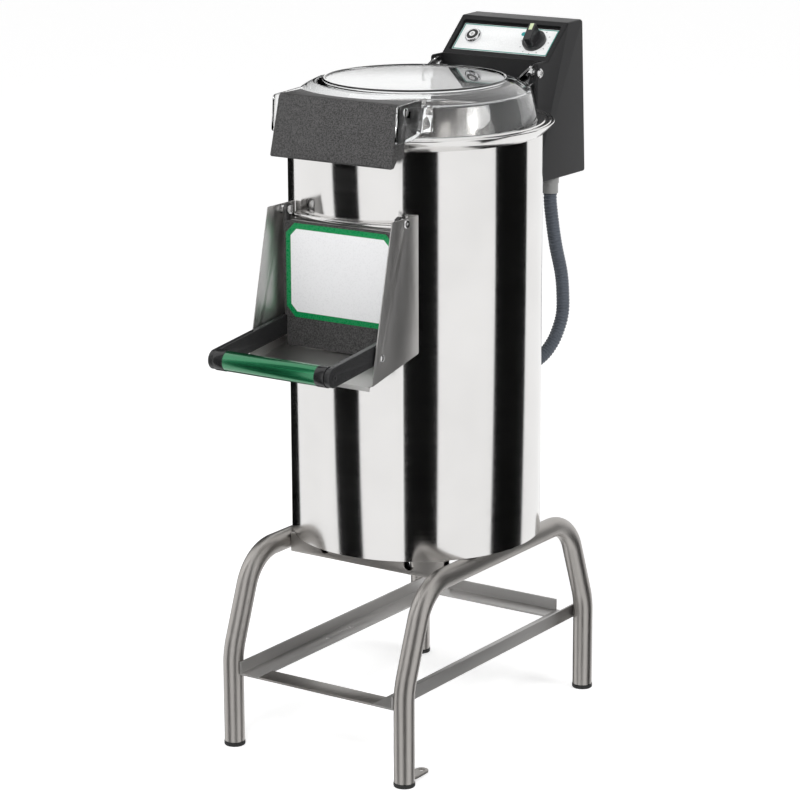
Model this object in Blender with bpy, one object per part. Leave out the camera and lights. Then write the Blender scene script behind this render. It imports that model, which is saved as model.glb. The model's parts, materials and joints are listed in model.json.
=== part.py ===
"""Electric potato peeler on a tubular stand, as an assembly of its real pieces.

Metres, +Z up. The front of the machine looks along -Y. The floor is z = 0 and the origin is the
middle of the footprint, so the drum's own axis stands a little behind it. Every piece is modelled
round the drum's axis and hangs under one empty that stands there.
"""
import math

import bmesh
import bpy
from mathutils import Matrix, Vector

# Shared fits and facets
gap = 0.0003              # between pieces that seat on each other
running_gap = 0.0004      # between a turning piece and what it turns in
overrun = 0.004           # how far a cutter passes what it cuts
round_steps = 48          # facets round the drum
fine_steps = 16
small_steps = 10
corner_steps = 3
sheet = 0.0015            # stainless sheet

# Drum
drum_radius = 0.185
drum_top_z = 0.9040
rim_width = 0.0165        # how far the rolled rim stands out from the drum
rim_drop = 0.0110
rim_rise = 0.0068
rim_ledge = 0.0125        # how far it reaches in over the drum's mouth
rim_skirt_depth = 0.0060
rim_sheet = 0.0012
base_ring_width = 0.0350
rim_radius = drum_radius + rim_width
rim_inner_radius = drum_radius - rim_ledge
rim_under_z = drum_top_z - rim_drop
rim_top_z = drum_top_z + rim_rise
base_hole_radius = drum_radius - base_ring_width

# Outlet and chute
outlet_half_width = 0.088
outlet_low_z = 0.6030
outlet_high_z = 0.7835
outlet_wall = 0.0020
chute_half_width = 0.1070
chute_low_z = 0.6060
chute_top_z = 0.8040
chute_front_z = 0.5810
chute_top_length = 0.0320  # how far the side plates stand out from the drum, at the top
chute_low_length = 0.0840  # and at their foot
chute_top_reach = drum_radius + chute_top_length
chute_low_reach = drum_radius + chute_low_length
hood_low_z = 0.7856
hood_sheet = 0.0015
hood_half_width = 0.0930
hood_nose = 0.0030
hood_overhang = 0.0040
hood_fall = 0.0140
hood_front = drum_radius + hood_overhang
hood_side = hood_front - hood_fall

# Door, its arms and its grip
door_stand_off = 0.0060   # from the drum's front to the door's face
door_pivot_depth = 0.0076
door_pivot_z = 0.7967
door_front = drum_radius + door_stand_off
door_pivot_y = door_pivot_depth - door_front
door_sheet = 0.0030
door_half_width = 0.0980
door_low_z = 0.6006
door_high_z = 0.7825
door_ear_radius = 0.0090
door_ear_thickness = 0.0050
seal_width = 0.0040
label_half_width = 0.0935
label_low_z = 0.6435
label_high_z = 0.7800
label_cut = 0.0150
label_sheet = 0.0004
arm_inner = 0.0945
arm_outer = 0.1030
arm_height = 0.0280
arm_rear_z = 0.6300
arm_length = 0.1615
grip_y = door_front + arm_length
grip_z = 0.6113
grip_radius = 0.0145
grip_wall = 0.0015
grip_half_length = 0.0780
sleeve_radius = 0.0150
pivot_bolt_radius = 0.0040
pivot_bolt_head_radius = 0.0065
pivot_bolt_head = 0.0025
spacer_radius = 0.0065
catch_inset = 0.0245
catch_y = chute_low_reach - catch_inset
catch_z = 0.6174

# Lid and its latch handle
lid_height = 0.0492       # of the flat top over the rim
lid_shoulder_drop = 0.0100
lid_set_back = 0.0070     # of the lid's foot from the drum's outside
lid_taper = 0.0090
lid_pivot_depth = 0.0045
lid_wall = 0.0030
lid_bead_inset = 0.0380
lid_bead_height = 0.0020
lid_plate_z = rim_top_z + lid_height
lid_shoulder_z = lid_plate_z - lid_shoulder_drop
lid_foot_radius = drum_radius - lid_set_back
lid_shoulder_radius = lid_foot_radius - lid_taper
lid_bead_radius = lid_shoulder_radius - lid_bead_inset
lid_pivot_y = drum_radius + lid_pivot_depth
lid_pivot_z = lid_plate_z
lid_ear_inner = 0.1035
lid_ear_sheet = 0.0030
lid_ear_flange = 0.1145
lid_rear_ear_inner = 0.0825
lid_rear_ear_outer = 0.0865
lid_rear_ear_radius = 0.0125
latch_pivot_drop = 0.0079
latch_y = lid_wall / 2 - drum_radius
latch_z = lid_plate_z - latch_pivot_drop
latch_half_width = 0.1027
latch_wall = 0.0030
latch_screw_radius = 0.0026
latch_screw_head_radius = 0.0062
latch_screw_head = 0.0016
latch_clearance = 0.0055
latch_patch_half_width = 0.0625
latch_patch_drop = 0.0510
latch_clear_radius = lid_foot_radius - latch_clearance
latch_patch_high_z = lid_plate_z - latch_patch_drop
latch_patch_rise = 0.0005

# Control box
box_half_width = 0.0940
box_height = 0.2326
box_ledge_rise = 0.0151   # of the ledge below the panel over the lid's top
box_ledge_depth = 0.0282  # of the same ledge behind the drum
box_depth = 0.1408        # behind the drum, at the box's foot
box_rear_lean = 0.0117
panel_run = 0.0576
panel_rise = 0.0508
panel_margin = 0.0012
box_wall = 0.0030
box_clearance = 0.0030    # to the rolled rim
pocket_half_width = 0.0885
pocket_depth = 0.0185
pocket_rise = 0.0032
box_ledge_z = lid_plate_z + box_ledge_rise
panel_high_z = box_ledge_z + panel_rise
box_top_z = panel_high_z + panel_margin
box_low_z = box_top_z - box_height
box_front = drum_radius - box_wall
box_rear_low = drum_radius + box_depth
box_rear_top = box_rear_low - box_rear_lean
panel_low_y = drum_radius + box_ledge_depth
panel_high_y = panel_low_y + panel_run
box_clear_radius = rim_radius + box_clearance
pocket_rear = lid_pivot_y + pocket_depth
pocket_low_z = rim_top_z + pocket_rise
recess_half_width = 0.0860
recess_low = 0.0075
recess_high = 0.0685
recess_depth = 0.0050
plate_half_width = 0.0835
plate_low = 0.0120
plate_high = 0.0640
plate_sheet = 0.0005
item_height = 0.0380
button_x = -0.0560
bezel_radius = 0.0130
bezel_height = 0.0069
button_radius = 0.0089
button_cap = 0.0027
button_proud = 0.0006
button_stem_radius = 0.0040
button_travel = 0.0028
button_stem_length = 0.0220
knob_x = 0.0520
knob_radius = 0.0185
knob_skirt = 0.0066
knob_grip_width = 0.0125
knob_grip_length = 0.0330
knob_grip_height = 0.0170
knob_shaft_radius = 0.0030
knob_shaft_length = 0.0160
cover_sheet = 0.0020
lid_bolt_radius = 0.0035
lid_bolt_head_radius = 0.0070
lid_bolt_head = 0.0030

# Conduit from the box to the drum
conduit_angle = math.radians(72.7)
conduit_radius = 0.0103
conduit_bore = 0.0070
conduit_rib = 0.0011
conduit_pitch = 0.0050
conduit_stand_off = 0.0768
conduit_bulge = 0.0279
conduit_reach = drum_radius + conduit_stand_off
gland_radius = 0.0130
gland_length = 0.0240
gland_bore = 0.0112
conduit_entry_z = 0.5080

# Drive
spindle_radius = 0.0150
spindle_low_z = 0.3400
disc_clearance = 0.0125
disc_radius = drum_radius - disc_clearance
disc_top_z = 0.6055
disc_thickness = 0.0060
liner_wall = 0.0065
liner_top_z = 0.8000
chamber_floor_z = 0.5870
housing_low_z = 0.4400
motor_radius = 0.0620
motor_inset = 0.0730
motor_offset = drum_radius - motor_inset
motor_low_z = 0.3818
motor_high_z = 0.5450
mount_sheet = 0.0050
pulley_z = 0.3545
disc_pulley_radius = 0.0700
motor_pulley_radius = 0.0200
pulley_width = 0.0180
belt_depth = 0.0070
belt_outer_half = 0.0055
belt_inner_half = 0.0035
motor_shaft_radius = 0.0070
drain_offset = 0.0750
drain_radius = 0.0200
drain_low_z = 0.2880

# Stand
tube_radius = 0.0150
tube_wall = 0.0015
arch_inset = 0.0340
arch_z = 0.2825
arch_front_reach = 0.0727
arch_rear_reach = 0.0527
arch_x = drum_radius - arch_inset
arch_front = drum_radius + arch_front_reach
arch_rear = drum_radius + arch_rear_reach
arch_kink_z = 0.1430
arch_lean = math.radians(20.5)
arch_bend = 0.0700
kink_bend = 0.1000
foot_height = 0.0060
foot_lip = 0.0006
cross_depth = 0.0150
cross_front_inset = 0.0530
cross_rear_inset = 0.0730
cross_front = drum_radius - cross_front_inset
cross_rear = drum_radius - cross_rear_inset
cross_height = 0.0300
cross_hole_x = 0.0745
cross_hole_radius = 0.0085
rail_low_z = 0.1120
rail_height = 0.0200
rail_width = 0.0350
rail_sheet = 0.0030
lug_reach = 0.0400
lug_width = 0.0200
lug_sheet = 0.0030
lug_hole = 0.0045

# Where the drum's axis stands, so that the origin is the middle of the footprint
axis_y = ((grip_y + sleeve_radius) - box_rear_low) / 2


# Finishes: colour, roughness, metallic and alpha
brushed_steel = ((0.63, 0.62, 0.60), 0.28, 1.0, 1.0)
bright_steel = ((0.72, 0.72, 0.72), 0.14, 1.0, 1.0)
tube_steel = ((0.42, 0.40, 0.38), 0.32, 1.0, 1.0)
cast_iron = ((0.16, 0.16, 0.17), 0.60, 0.6, 1.0)
aluminium = ((0.66, 0.67, 0.68), 0.38, 1.0, 1.0)
black_plastic = ((0.030, 0.030, 0.032), 0.48, 0.0, 1.0)
dark_plastic = ((0.075, 0.072, 0.072), 0.55, 0.0, 1.0)
rubber = ((0.020, 0.020, 0.020), 0.75, 0.0, 1.0)
clear_plastic = ((0.90, 0.92, 0.92), 0.06, 0.0, 0.35)
white_print = ((0.86, 0.86, 0.86), 0.35, 0.0, 1.0)
green_metal = ((0.030, 0.270, 0.110), 0.25, 0.7, 1.0)
grey_pvc = ((0.130, 0.150, 0.180), 0.50, 0.0, 1.0)
grey_nylon = ((0.330, 0.330, 0.330), 0.50, 0.0, 1.0)
abrasive = ((0.200, 0.190, 0.180), 0.95, 0.0, 1.0)


# Scene helpers
for old in list(bpy.data.objects):
    bpy.data.objects.remove(old, do_unlink=True)


def empty(name, location, parent=None, rotation=(0, 0, 0)):
    marker = bpy.data.objects.new(name, None)
    bpy.context.scene.collection.objects.link(marker)
    marker.location = location
    marker.rotation_euler = rotation
    marker.parent = parent
    return marker


def link(name, bm, parent, origin=(0, 0, 0)):
    """An object whose own origin stands at a place of its parent's space."""
    bmesh.ops.translate(bm, verts=bm.verts, vec=-Vector(origin))
    bmesh.ops.recalc_face_normals(bm, faces=bm.faces)
    mesh = bpy.data.meshes.new(name)
    bm.to_mesh(mesh)
    bm.free()
    made = bpy.data.objects.new(name, mesh)
    bpy.context.scene.collection.objects.link(made)
    made.location = origin
    made.parent = parent
    return made


def add(name, bm, finish, parent, origin=(0, 0, 0)):
    """A sub-part: its mesh, its smooth shading and its own material."""
    made = link(name, bm, parent, origin)
    made.data.shade_smooth()
    made.data.set_sharp_from_angle(angle=math.radians(35))
    colour, roughness, metallic, alpha = finish
    paint = bpy.data.materials.new(name + "_finish")
    paint.use_nodes = True
    shader = paint.node_tree.nodes["Principled BSDF"]
    shader.inputs["Base Color"].default_value = (*colour, 1)
    shader.inputs["Roughness"].default_value = roughness
    shader.inputs["Metallic"].default_value = metallic
    shader.inputs["Alpha"].default_value = alpha
    made.data.materials.append(paint)
    return made


def boolean(target, bm, parent, operation):
    """A live Boolean with a helper shape that isn't a piece itself."""
    helper = link(target.name + "_" + operation.lower(), bm, parent)
    helper.display_type = "WIRE"
    helper.hide_render = True
    change = target.modifiers.new(operation.title(), "BOOLEAN")
    change.operation = operation
    change.solver = "EXACT"
    change.object = helper
    return target


def cut(target, bm, parent):
    return boolean(target, bm, parent, "DIFFERENCE")


def fuse(target, bm, parent):
    return boolean(target, bm, parent, "UNION")


# Outline helpers
def spread(shares, first, last):
    """Points of a plane from shares of the way between two named corners."""
    return [(first[0] + (last[0] - first[0]) * a, first[1] + (last[1] - first[1]) * b)
            for a, b in shares]


def rounded(points, radius, closed=True, steps=corner_steps):
    """The points with each corner turned into an arc; radius is one value or one for each corner."""
    count = len(points)
    radii = [radius] * count if isinstance(radius, (int, float)) else list(radius)
    out = []
    for i, (here, size) in enumerate(zip(points, radii)):
        here = Vector(here)
        if size <= 0 or (not closed and i in (0, count - 1)):
            out.append(tuple(here))
            continue
        back = (Vector(points[i - 1]) - here).normalized()
        ahead = (Vector(points[(i + 1) % count]) - here).normalized()
        half = back.angle(ahead) / 2
        reach = size / math.tan(half)
        middle = here + (back + ahead).normalized() * size / math.sin(half)
        start = here + back * reach - middle
        turn = math.pi - 2 * half
        side = back.x * ahead.y - back.y * ahead.x
        for k in range(steps + 1):
            angle = turn * k / steps * (-1 if side > 0 else 1)
            spun = Matrix.Rotation(angle, 2) @ start
            out.append(tuple(middle + spun))
    return out


def inset(outline, distance):
    """A closed outline moved inwards by a distance, corner by corner."""
    area = sum(a[0] * b[1] - b[0] * a[1] for a, b in zip(outline, outline[1:] + outline[:1]))
    sense = 1 if area > 0 else -1
    out = []
    for i, here in enumerate(outline):
        here = Vector(here)
        back = (here - Vector(outline[i - 1])).normalized()
        ahead = (Vector(outline[(i + 1) % len(outline)]) - here).normalized()
        normal = Vector((-back.y - ahead.y, back.x + ahead.x)) * sense
        normal.normalize()
        lean = max(normal.dot(Vector((-back.y, back.x)) * sense), 0.3)
        out.append(tuple(here + normal * distance / lean))
    return out


def arc(centre, radius, first, last, steps):
    """Points of a circle between two angles in degrees, both ends included."""
    angles = [math.radians(first + (last - first) * k / steps) for k in range(steps + 1)]
    return [(centre[0] + radius * math.cos(a), centre[1] + radius * math.sin(a)) for a in angles]


# Solid helpers: each gives a bmesh
across = {"X": lambda a, b, c: (c, a, b), "Y": lambda a, b, c: (a, c, b), "Z": lambda a, b, c: (a, b, c)}


def extruded(outline, low, high, axis="X"):
    """A prism: an outline in the plane across an axis, carried from low to high along it."""
    place = across[axis]
    bm = bmesh.new()
    face = bm.faces.new([bm.verts.new(place(a, b, low)) for a, b in outline])
    grown = bmesh.ops.extrude_face_region(bm, geom=[face])
    moved = [item for item in grown["geom"] if isinstance(item, bmesh.types.BMVert)]
    bmesh.ops.translate(bm, verts=moved, vec=Vector(place(0, 0, high - low)))
    return bm


def lofted(rings, closed=False):
    """Rings with as many points each, bridged one to the next, with flat ends unless they close."""
    bm = bmesh.new()
    rows = [[bm.verts.new(point) for point in ring] for ring in rings]
    pairs = list(zip(rows, rows[1:] + rows[:1])) if closed else list(zip(rows, rows[1:]))
    for near, far in pairs:
        for i in range(len(near)):
            j = (i + 1) % len(near)
            bm.faces.new((near[i], near[j], far[j], far[i]))
    if not closed:
        bm.faces.new(rows[0])
        bm.faces.new(rows[-1])
    return bm


def soft_prism(outline, low, high, edge, axis="X", steps=2):
    """A prism whose two end faces meet its sides in a round edge."""
    place = across[axis]
    levels = [(edge * (1 - math.sin(math.pi / 2 * k / steps)), edge * (1 - math.cos(math.pi / 2 * k / steps)))
              for k in range(steps + 1)]
    ends = [(low + along, inward) for inward, along in levels]
    ends += [(high - along, inward) for inward, along in reversed(levels)]
    rings = [[place(a, b, at) for a, b in inset(outline, inward)] for at, inward in ends]
    return lofted(rings)


def turned(profile, steps=round_steps):
    """A turned solid about Z: (radius, height) points that close, or that run from axis to axis."""
    bm = bmesh.new()
    verts = [bm.verts.new((r, 0, z)) for r, z in profile]
    edges = [bm.edges.new(pair) for pair in zip(verts, verts[1:])]
    if profile[0][0] > 0 or profile[-1][0] > 0:
        edges.append(bm.edges.new((verts[-1], verts[0])))
    bmesh.ops.spin(bm, geom=verts + edges, cent=(0, 0, 0), axis=(0, 0, 1), dvec=(0, 0, 0),
                   angle=2 * math.pi, steps=steps, use_merge=True, use_duplicate=False)
    bmesh.ops.remove_doubles(bm, verts=bm.verts, dist=gap / 100)
    return bm


def disc_profile(radius, low, high):
    return [(0, low), (radius, low), (radius, high), (0, high)]


def ring_profile(inner, outer, low, high):
    return [(inner, low), (outer, low), (outer, high), (inner, high)]


def moved(bm, matrix):
    bmesh.ops.transform(bm, matrix=matrix, verts=bm.verts)
    return bm


def shifted(bm, x=0, y=0, z=0):
    return moved(bm, Matrix.Translation((x, y, z)))


def along_x(bm, y=0, z=0, side=1):
    """A piece turned about Z, laid along X (or along -X) through a place of the YZ plane."""
    return moved(bm, Matrix.Translation((0, y, z)) @ Matrix.Rotation(math.pi / 2 * side, 4, "Y"))


def mirrored(bm):
    """The same shape on the other side of the machine's middle plane."""
    return moved(copied(bm), Matrix.Scale(-1, 4, (1, 0, 0)))


def copied(bm):
    return bm.copy()


def together(*shapes):
    """Several separate solids in one mesh."""
    whole = bmesh.new()
    for shape in shapes:
        mesh = bpy.data.meshes.new("shape")
        shape.to_mesh(mesh)
        shape.free()
        whole.from_mesh(mesh)
        bpy.data.meshes.remove(mesh)
    return whole


def both_sides(bm):
    return together(mirrored(bm), bm)


def pair(name, bm, finish, parent, origin=(0, 0, 0)):
    """The right-hand piece and its mirror image on the left."""
    return [add(name + "_left", mirrored(bm), finish, parent, origin), add(name + "_right", bm, finish, parent, origin)]


def tube(points, radius, resolution=4, swell=None):
    """A tube along points; swell gives each point's share of the radius."""
    curve = bpy.data.curves.new("path", "CURVE")
    curve.dimensions = "3D"
    curve.bevel_depth = radius
    curve.bevel_resolution = resolution
    curve.use_fill_caps = True
    spline = curve.splines.new("POLY")
    spline.points.add(len(points) - 1)
    for i, point in enumerate(points):
        spline.points[i].co = (*point, 1)
        spline.points[i].radius = swell[i] if swell else 1
    carrier = bpy.data.objects.new("path", curve)
    bpy.context.scene.collection.objects.link(carrier)
    ready = carrier.evaluated_get(bpy.context.evaluated_depsgraph_get())
    mesh = bpy.data.meshes.new_from_object(ready)
    bm = bmesh.new()
    bm.from_mesh(mesh)
    bmesh.ops.remove_doubles(bm, verts=bm.verts, dist=gap / 100)
    bpy.data.objects.remove(carrier, do_unlink=True)
    bpy.data.meshes.remove(mesh)
    return bm


# Frames that carry the pieces
machine = empty("machine_axis", (0, axis_y, 0))
panel_tilt = math.atan2(panel_high_z - box_ledge_z, panel_high_y - panel_low_y)
panel = empty("panel_frame", (0, panel_low_y, box_ledge_z), machine, (panel_tilt, 0, 0))
door_axis = (0, door_pivot_y, door_pivot_z)
lid_axis = (0, lid_pivot_y, lid_pivot_z)
latch_axis = (0, latch_y, latch_z)


# Stand: two bent arches, their feet, the cross tubes and the drawer rails
def arch_route(extra=0):
    """One bent tube in its own plane: leg, leaning shoulder, level top, and down again."""
    foot = foot_height + gap - extra
    lean_run = (arch_z - arch_kink_z) * math.tan(arch_lean)
    corners = [(-arch_front, foot), (-arch_front, arch_kink_z), (-arch_front + lean_run, arch_z),
               (arch_rear - lean_run, arch_z), (arch_rear, arch_kink_z), (arch_rear, foot)]
    bends = [0, kink_bend, arch_bend, arch_bend, kink_bend, 0]
    return rounded(corners, bends, closed=False, steps=4)


def stand_arch(name, x):
    route = [(x, y, z) for y, z in arch_route()]
    arch = add(name, tube(route, tube_radius), tube_steel, machine)
    hollow = [(x, y, z) for y, z in arch_route(overrun)]
    return cut(arch, tube(hollow, tube_radius - tube_wall, 2), machine)


stand_arch("stand_arch_left", -arch_x)
right_arch = stand_arch("stand_arch_right", arch_x)

bore_sides = 8
plug_height = 0.0180
plug_radius = (tube_radius - tube_wall) * math.cos(math.pi / bore_sides) - gap
foot_shape = [(0, 0), (tube_radius, 0), (tube_radius + foot_lip, foot_height / 4),
              (tube_radius + foot_lip, foot_height), (plug_radius, foot_height),
              (plug_radius, plug_height), (0, plug_height)]
for end_name, y in (("front", -arch_front), ("rear", arch_rear)):
    pair("leg_foot_" + end_name, shifted(turned(foot_shape, small_steps), arch_x, y), rubber, machine)


def upper_cross(name, y):
    """A level box tube between the arches, with the two holes that the drum is bolted through."""
    reach = arch_x - tube_radius - gap
    low = arch_z - cross_height / 2
    outline = [(y, low), (y + cross_depth, low), (y + cross_depth, low + cross_height), (y, low + cross_height)]
    bar = add(name, extruded(rounded(outline, tube_wall, steps=2), -reach, reach), tube_steel, machine)
    cut(bar, extruded(inset(outline, tube_wall), -reach - overrun, reach + overrun), machine)
    drills = [extruded(arc((x, arch_z), cross_hole_radius, 0, 360 - 360 / small_steps, small_steps - 1),
                       y - overrun, y + cross_depth + overrun, "Y") for x in (-cross_hole_x, cross_hole_x)]
    return cut(bar, together(*drills), machine)


upper_cross("upper_cross_front", -cross_front)
upper_cross("upper_cross_rear", cross_rear)

# Rails of angle section inside the legs, where the starch drawer slides in from the front
rail_front = -arch_front - foot_height
rail_rear = arch_rear + foot_height
rail_face = arch_x - tube_radius - gap
rail_shape = [(rail_face, rail_low_z), (rail_face, rail_low_z + rail_height),
              (rail_face - rail_sheet, rail_low_z + rail_height),
              (rail_face - rail_sheet, rail_low_z + rail_sheet),
              (rail_face - rail_width, rail_low_z + rail_sheet), (rail_face - rail_width, rail_low_z)]
rail_hole_radius = 0.0040
rail_hole_shares = (0.39, 0.51)
for side_name, side in (("left", -1), ("right", 1)):
    profile = [(side * x, z) for x, z in rail_shape]
    rail = add("lower_rail_" + side_name, extruded(profile, rail_front, rail_rear, "Y"), tube_steel, machine)
    holes = [shifted(turned(disc_profile(rail_hole_radius, rail_low_z - overrun, rail_low_z + rail_sheet + overrun),
                            small_steps), side * (rail_face - rail_width / 2),
                     rail_front + (rail_rear - rail_front) * share) for share in rail_hole_shares]
    cut(rail, together(*holes), machine)

rear_shape = [(rail_rear, rail_low_z), (rail_rear, rail_low_z + rail_height),
              (rail_rear - rail_sheet, rail_low_z + rail_height), (rail_rear - rail_sheet, rail_low_z + rail_sheet),
              (rail_rear - rail_width, rail_low_z + rail_sheet), (rail_rear - rail_width, rail_low_z)]
bar_reach = rail_face - rail_width - gap
add("lower_rail_rear", extruded(rear_shape, -bar_reach, bar_reach), tube_steel, machine)
bar_shape = [(rail_front, rail_low_z), (rail_front + rail_width, rail_low_z),
             (rail_front + rail_width, rail_low_z + rail_sheet), (rail_front, rail_low_z + rail_sheet)]
add("lower_bar_front", extruded(bar_shape, -bar_reach, bar_reach), tube_steel, machine)

# A tab with a hole, welded low on the right front leg, to fix the machine to the floor
lug_root = -arch_front + tube_radius - tube_wall / 2
lug_end = lug_root + lug_reach - lug_width / 2
lug_low = foot_height + gap * 2
lug_shape = [(arch_x - lug_width / 2, lug_root), (arch_x + lug_width / 2, lug_root)]
lug_shape += arc((arch_x, lug_end), lug_width / 2, 0, 180, 8)
fuse(right_arch, extruded(lug_shape, lug_low, lug_low + lug_sheet, "Z"), machine)
cut(right_arch, shifted(turned(disc_profile(lug_hole, lug_low - overrun, lug_low + lug_sheet + overrun), small_steps),
                 arch_x, lug_end), machine)

# Drum: base ring, shell, rolled rim, chamber floor and abrasive liner
stand_top = arch_z + tube_radius
shell_inner = drum_radius - sheet
base_low = stand_top + gap
shell_shape = [(base_hole_radius, base_low), (drum_radius, base_low), (drum_radius, drum_top_z),
               (shell_inner, drum_top_z), (shell_inner, base_low + sheet), (base_hole_radius, base_low + sheet)]
shell = add("drum_shell", turned(shell_shape), brushed_steel, machine)
mouth_half = outlet_half_width - outlet_wall
mouth_low = outlet_low_z + outlet_wall
mouth_high = outlet_high_z - outlet_wall
mouth = [(-mouth_half, mouth_low), (mouth_half, mouth_low), (mouth_half, mouth_high), (-mouth_half, mouth_high)]
mouth_back = -drum_radius / 2
cut(shell, extruded(mouth, -drum_radius - overrun, mouth_back, "Y"), machine)

rim_start = drum_radius + gap
rim_shares = ((0, 0), (0.84, 0.26), (1, 0.36), (0.93, 0.55), (0.68, 0.61), (0.58, 0.76), (0.30, 0.80), (0.16, 0.96),
              (-0.25, 1))
rim_path = spread(rim_shares, (rim_start, rim_under_z), (rim_radius, rim_top_z))
rim_path += [(rim_inner_radius + rim_sheet, rim_top_z), (rim_inner_radius, rim_top_z - rim_sheet),
             (rim_inner_radius, rim_under_z - rim_skirt_depth)]
rim_back = [(rim_inner_radius + rim_sheet, rim_under_z - rim_skirt_depth),
            (rim_inner_radius + rim_sheet, rim_top_z - rim_sheet * 2)]
rim_back += spread(((0.5, 0.68), (0.84, 0.42), (0, 0.1)), (rim_start, rim_under_z), (rim_radius, rim_top_z))
add("drum_rim", turned(rim_path + rim_back), bright_steel, machine)

floor_sheet = 0.0020
floor_low = chamber_floor_z - floor_sheet
neck_radius = 0.0350
drain_at = (-drain_offset, -drain_offset)
chamber = add("chamber_floor", turned(ring_profile(neck_radius + gap, shell_inner - gap, floor_low, chamber_floor_z)),
              brushed_steel, machine)
cut(chamber, shifted(turned(disc_profile(drain_radius + gap, floor_low - overrun, chamber_floor_z + overrun),
                            fine_steps), *drain_at), machine)

liner_outer = shell_inner - gap * 3
liner = add("abrasive_liner", turned(ring_profile(liner_outer - liner_wall, liner_outer,
                                                  chamber_floor_z + gap, liner_top_z)), abrasive, machine)
cut(liner, extruded(mouth, -drum_radius - overrun, mouth_back, "Y"), machine)

# Outlet: the collar that the door closes on, the hood over it and the three sheets of the chute
seal_thickness = 0.0015
collar_front = -(door_front - door_sheet - gap - seal_thickness - gap)
collar_outer = [(-outlet_half_width, outlet_low_z), (outlet_half_width, outlet_low_z),
                (outlet_half_width, outlet_high_z), (-outlet_half_width, outlet_high_z)]
drum_clear = disc_profile(drum_radius + gap, base_low, rim_under_z)
collar = add("outlet_collar", extruded(collar_outer, collar_front, -drum_radius * math.cos(math.asin(
    outlet_half_width / drum_radius)) + overrun, "Y"), brushed_steel, machine)
cut(collar, extruded(inset(collar_outer, outlet_wall), collar_front - overrun, mouth_back, "Y"), machine)
cut(collar, turned(drum_clear), machine)

hood_z = hood_low_z + hood_nose
hood_stations = 12


def hood_ring(x):
    """The hood's section at one place: a flat sheet from the drum to a rolled nose."""
    back = -math.sqrt((drum_radius + gap) ** 2 - x ** 2)
    front = -hood_front + (hood_front - hood_side) * (x / hood_half_width) ** 2
    nose = arc((front, hood_z), hood_nose, 30, -270, 10)
    return [(x, y, z) for y, z in [(back, hood_z + hood_nose - hood_sheet)] + nose + [(back, hood_z + hood_nose)]]


hood_rings = [hood_ring(hood_half_width * (2 * k / hood_stations - 1)) for k in range(hood_stations + 1)]
add("outlet_hood", lofted(hood_rings), bright_steel, machine)

plate_inner = chute_half_width - sheet
plate_rear = -math.sqrt(drum_radius ** 2 - plate_inner ** 2) - gap * 2
plate_shape = [(-chute_top_reach, chute_top_z), (plate_rear, chute_top_z), (plate_rear, chute_low_z),
               (-chute_low_reach, chute_front_z)]
bolt_clear = pivot_bolt_radius + gap
catch_shank = 0.0030
for side_name, side in (("left", -1), ("right", 1)):
    low, high = sorted((side * plate_inner, side * chute_half_width))
    plate = add("chute_side_" + side_name, extruded(rounded(plate_shape, sheet), low, high), brushed_steel, machine)
    drills = [extruded(arc(place, size, 0, 360 - 360 / small_steps, small_steps - 1), low - overrun, high + overrun)
              for place, size in (((door_pivot_y, door_pivot_z), bolt_clear), ((-catch_y, catch_z), catch_shank + gap))]
    cut(plate, together(*drills), machine)

fall = (chute_low_z - chute_front_z) / (plate_rear + chute_low_reach)
floor_rear = -drum_radius * math.cos(math.asin(plate_inner / drum_radius)) + overrun
floor_front = -chute_low_reach - sheet * 2
drip = 0.0050


def chute_floor_height(y):
    return chute_low_z + (y - plate_rear) * fall


chute_shape = [(floor_rear, chute_floor_height(floor_rear)), (floor_rear, chute_floor_height(floor_rear) + sheet),
               (floor_front - sheet, chute_floor_height(floor_front) + sheet),
               (floor_front - sheet, chute_floor_height(floor_front) - drip),
               (floor_front, chute_floor_height(floor_front) - drip), (floor_front, chute_floor_height(floor_front))]
floor_half = plate_inner - gap
chute_floor = add("chute_floor", extruded(chute_shape, -floor_half, floor_half), brushed_steel, machine)
cut(chute_floor, turned(drum_clear), machine)
cut(chute_floor, extruded([(-outlet_half_width - gap, chute_front_z), (outlet_half_width + gap, chute_front_z),
                           (outlet_half_width + gap, outlet_high_z), (-outlet_half_width - gap, outlet_high_z)],
                          collar_front - gap, mouth_back, "Y"), machine)

# Pivot bolts of the door: head, shank, spacer and inner nut in one turned piece on each side
ear_inner = door_half_width - door_ear_thickness
bolt_shape = [(0, ear_inner - gap - pivot_bolt_head), (pivot_bolt_head_radius, ear_inner - gap - pivot_bolt_head),
              (pivot_bolt_head_radius, ear_inner - gap), (pivot_bolt_radius, ear_inner - gap),
              (pivot_bolt_radius, door_half_width + gap), (spacer_radius, door_half_width + gap),
              (spacer_radius, plate_inner - gap), (pivot_bolt_radius, plate_inner - gap),
              (pivot_bolt_radius, chute_half_width + gap), (pivot_bolt_head_radius, chute_half_width + gap),
              (pivot_bolt_head_radius, chute_half_width + gap + pivot_bolt_head / 2),
              (pivot_bolt_head_radius * 0.8, chute_half_width + gap + pivot_bolt_head),
              (0, chute_half_width + gap + pivot_bolt_head)]
pair("door_pivot_bolt", along_x(turned(bolt_shape, small_steps), door_pivot_y, door_pivot_z), bright_steel, machine)

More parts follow.
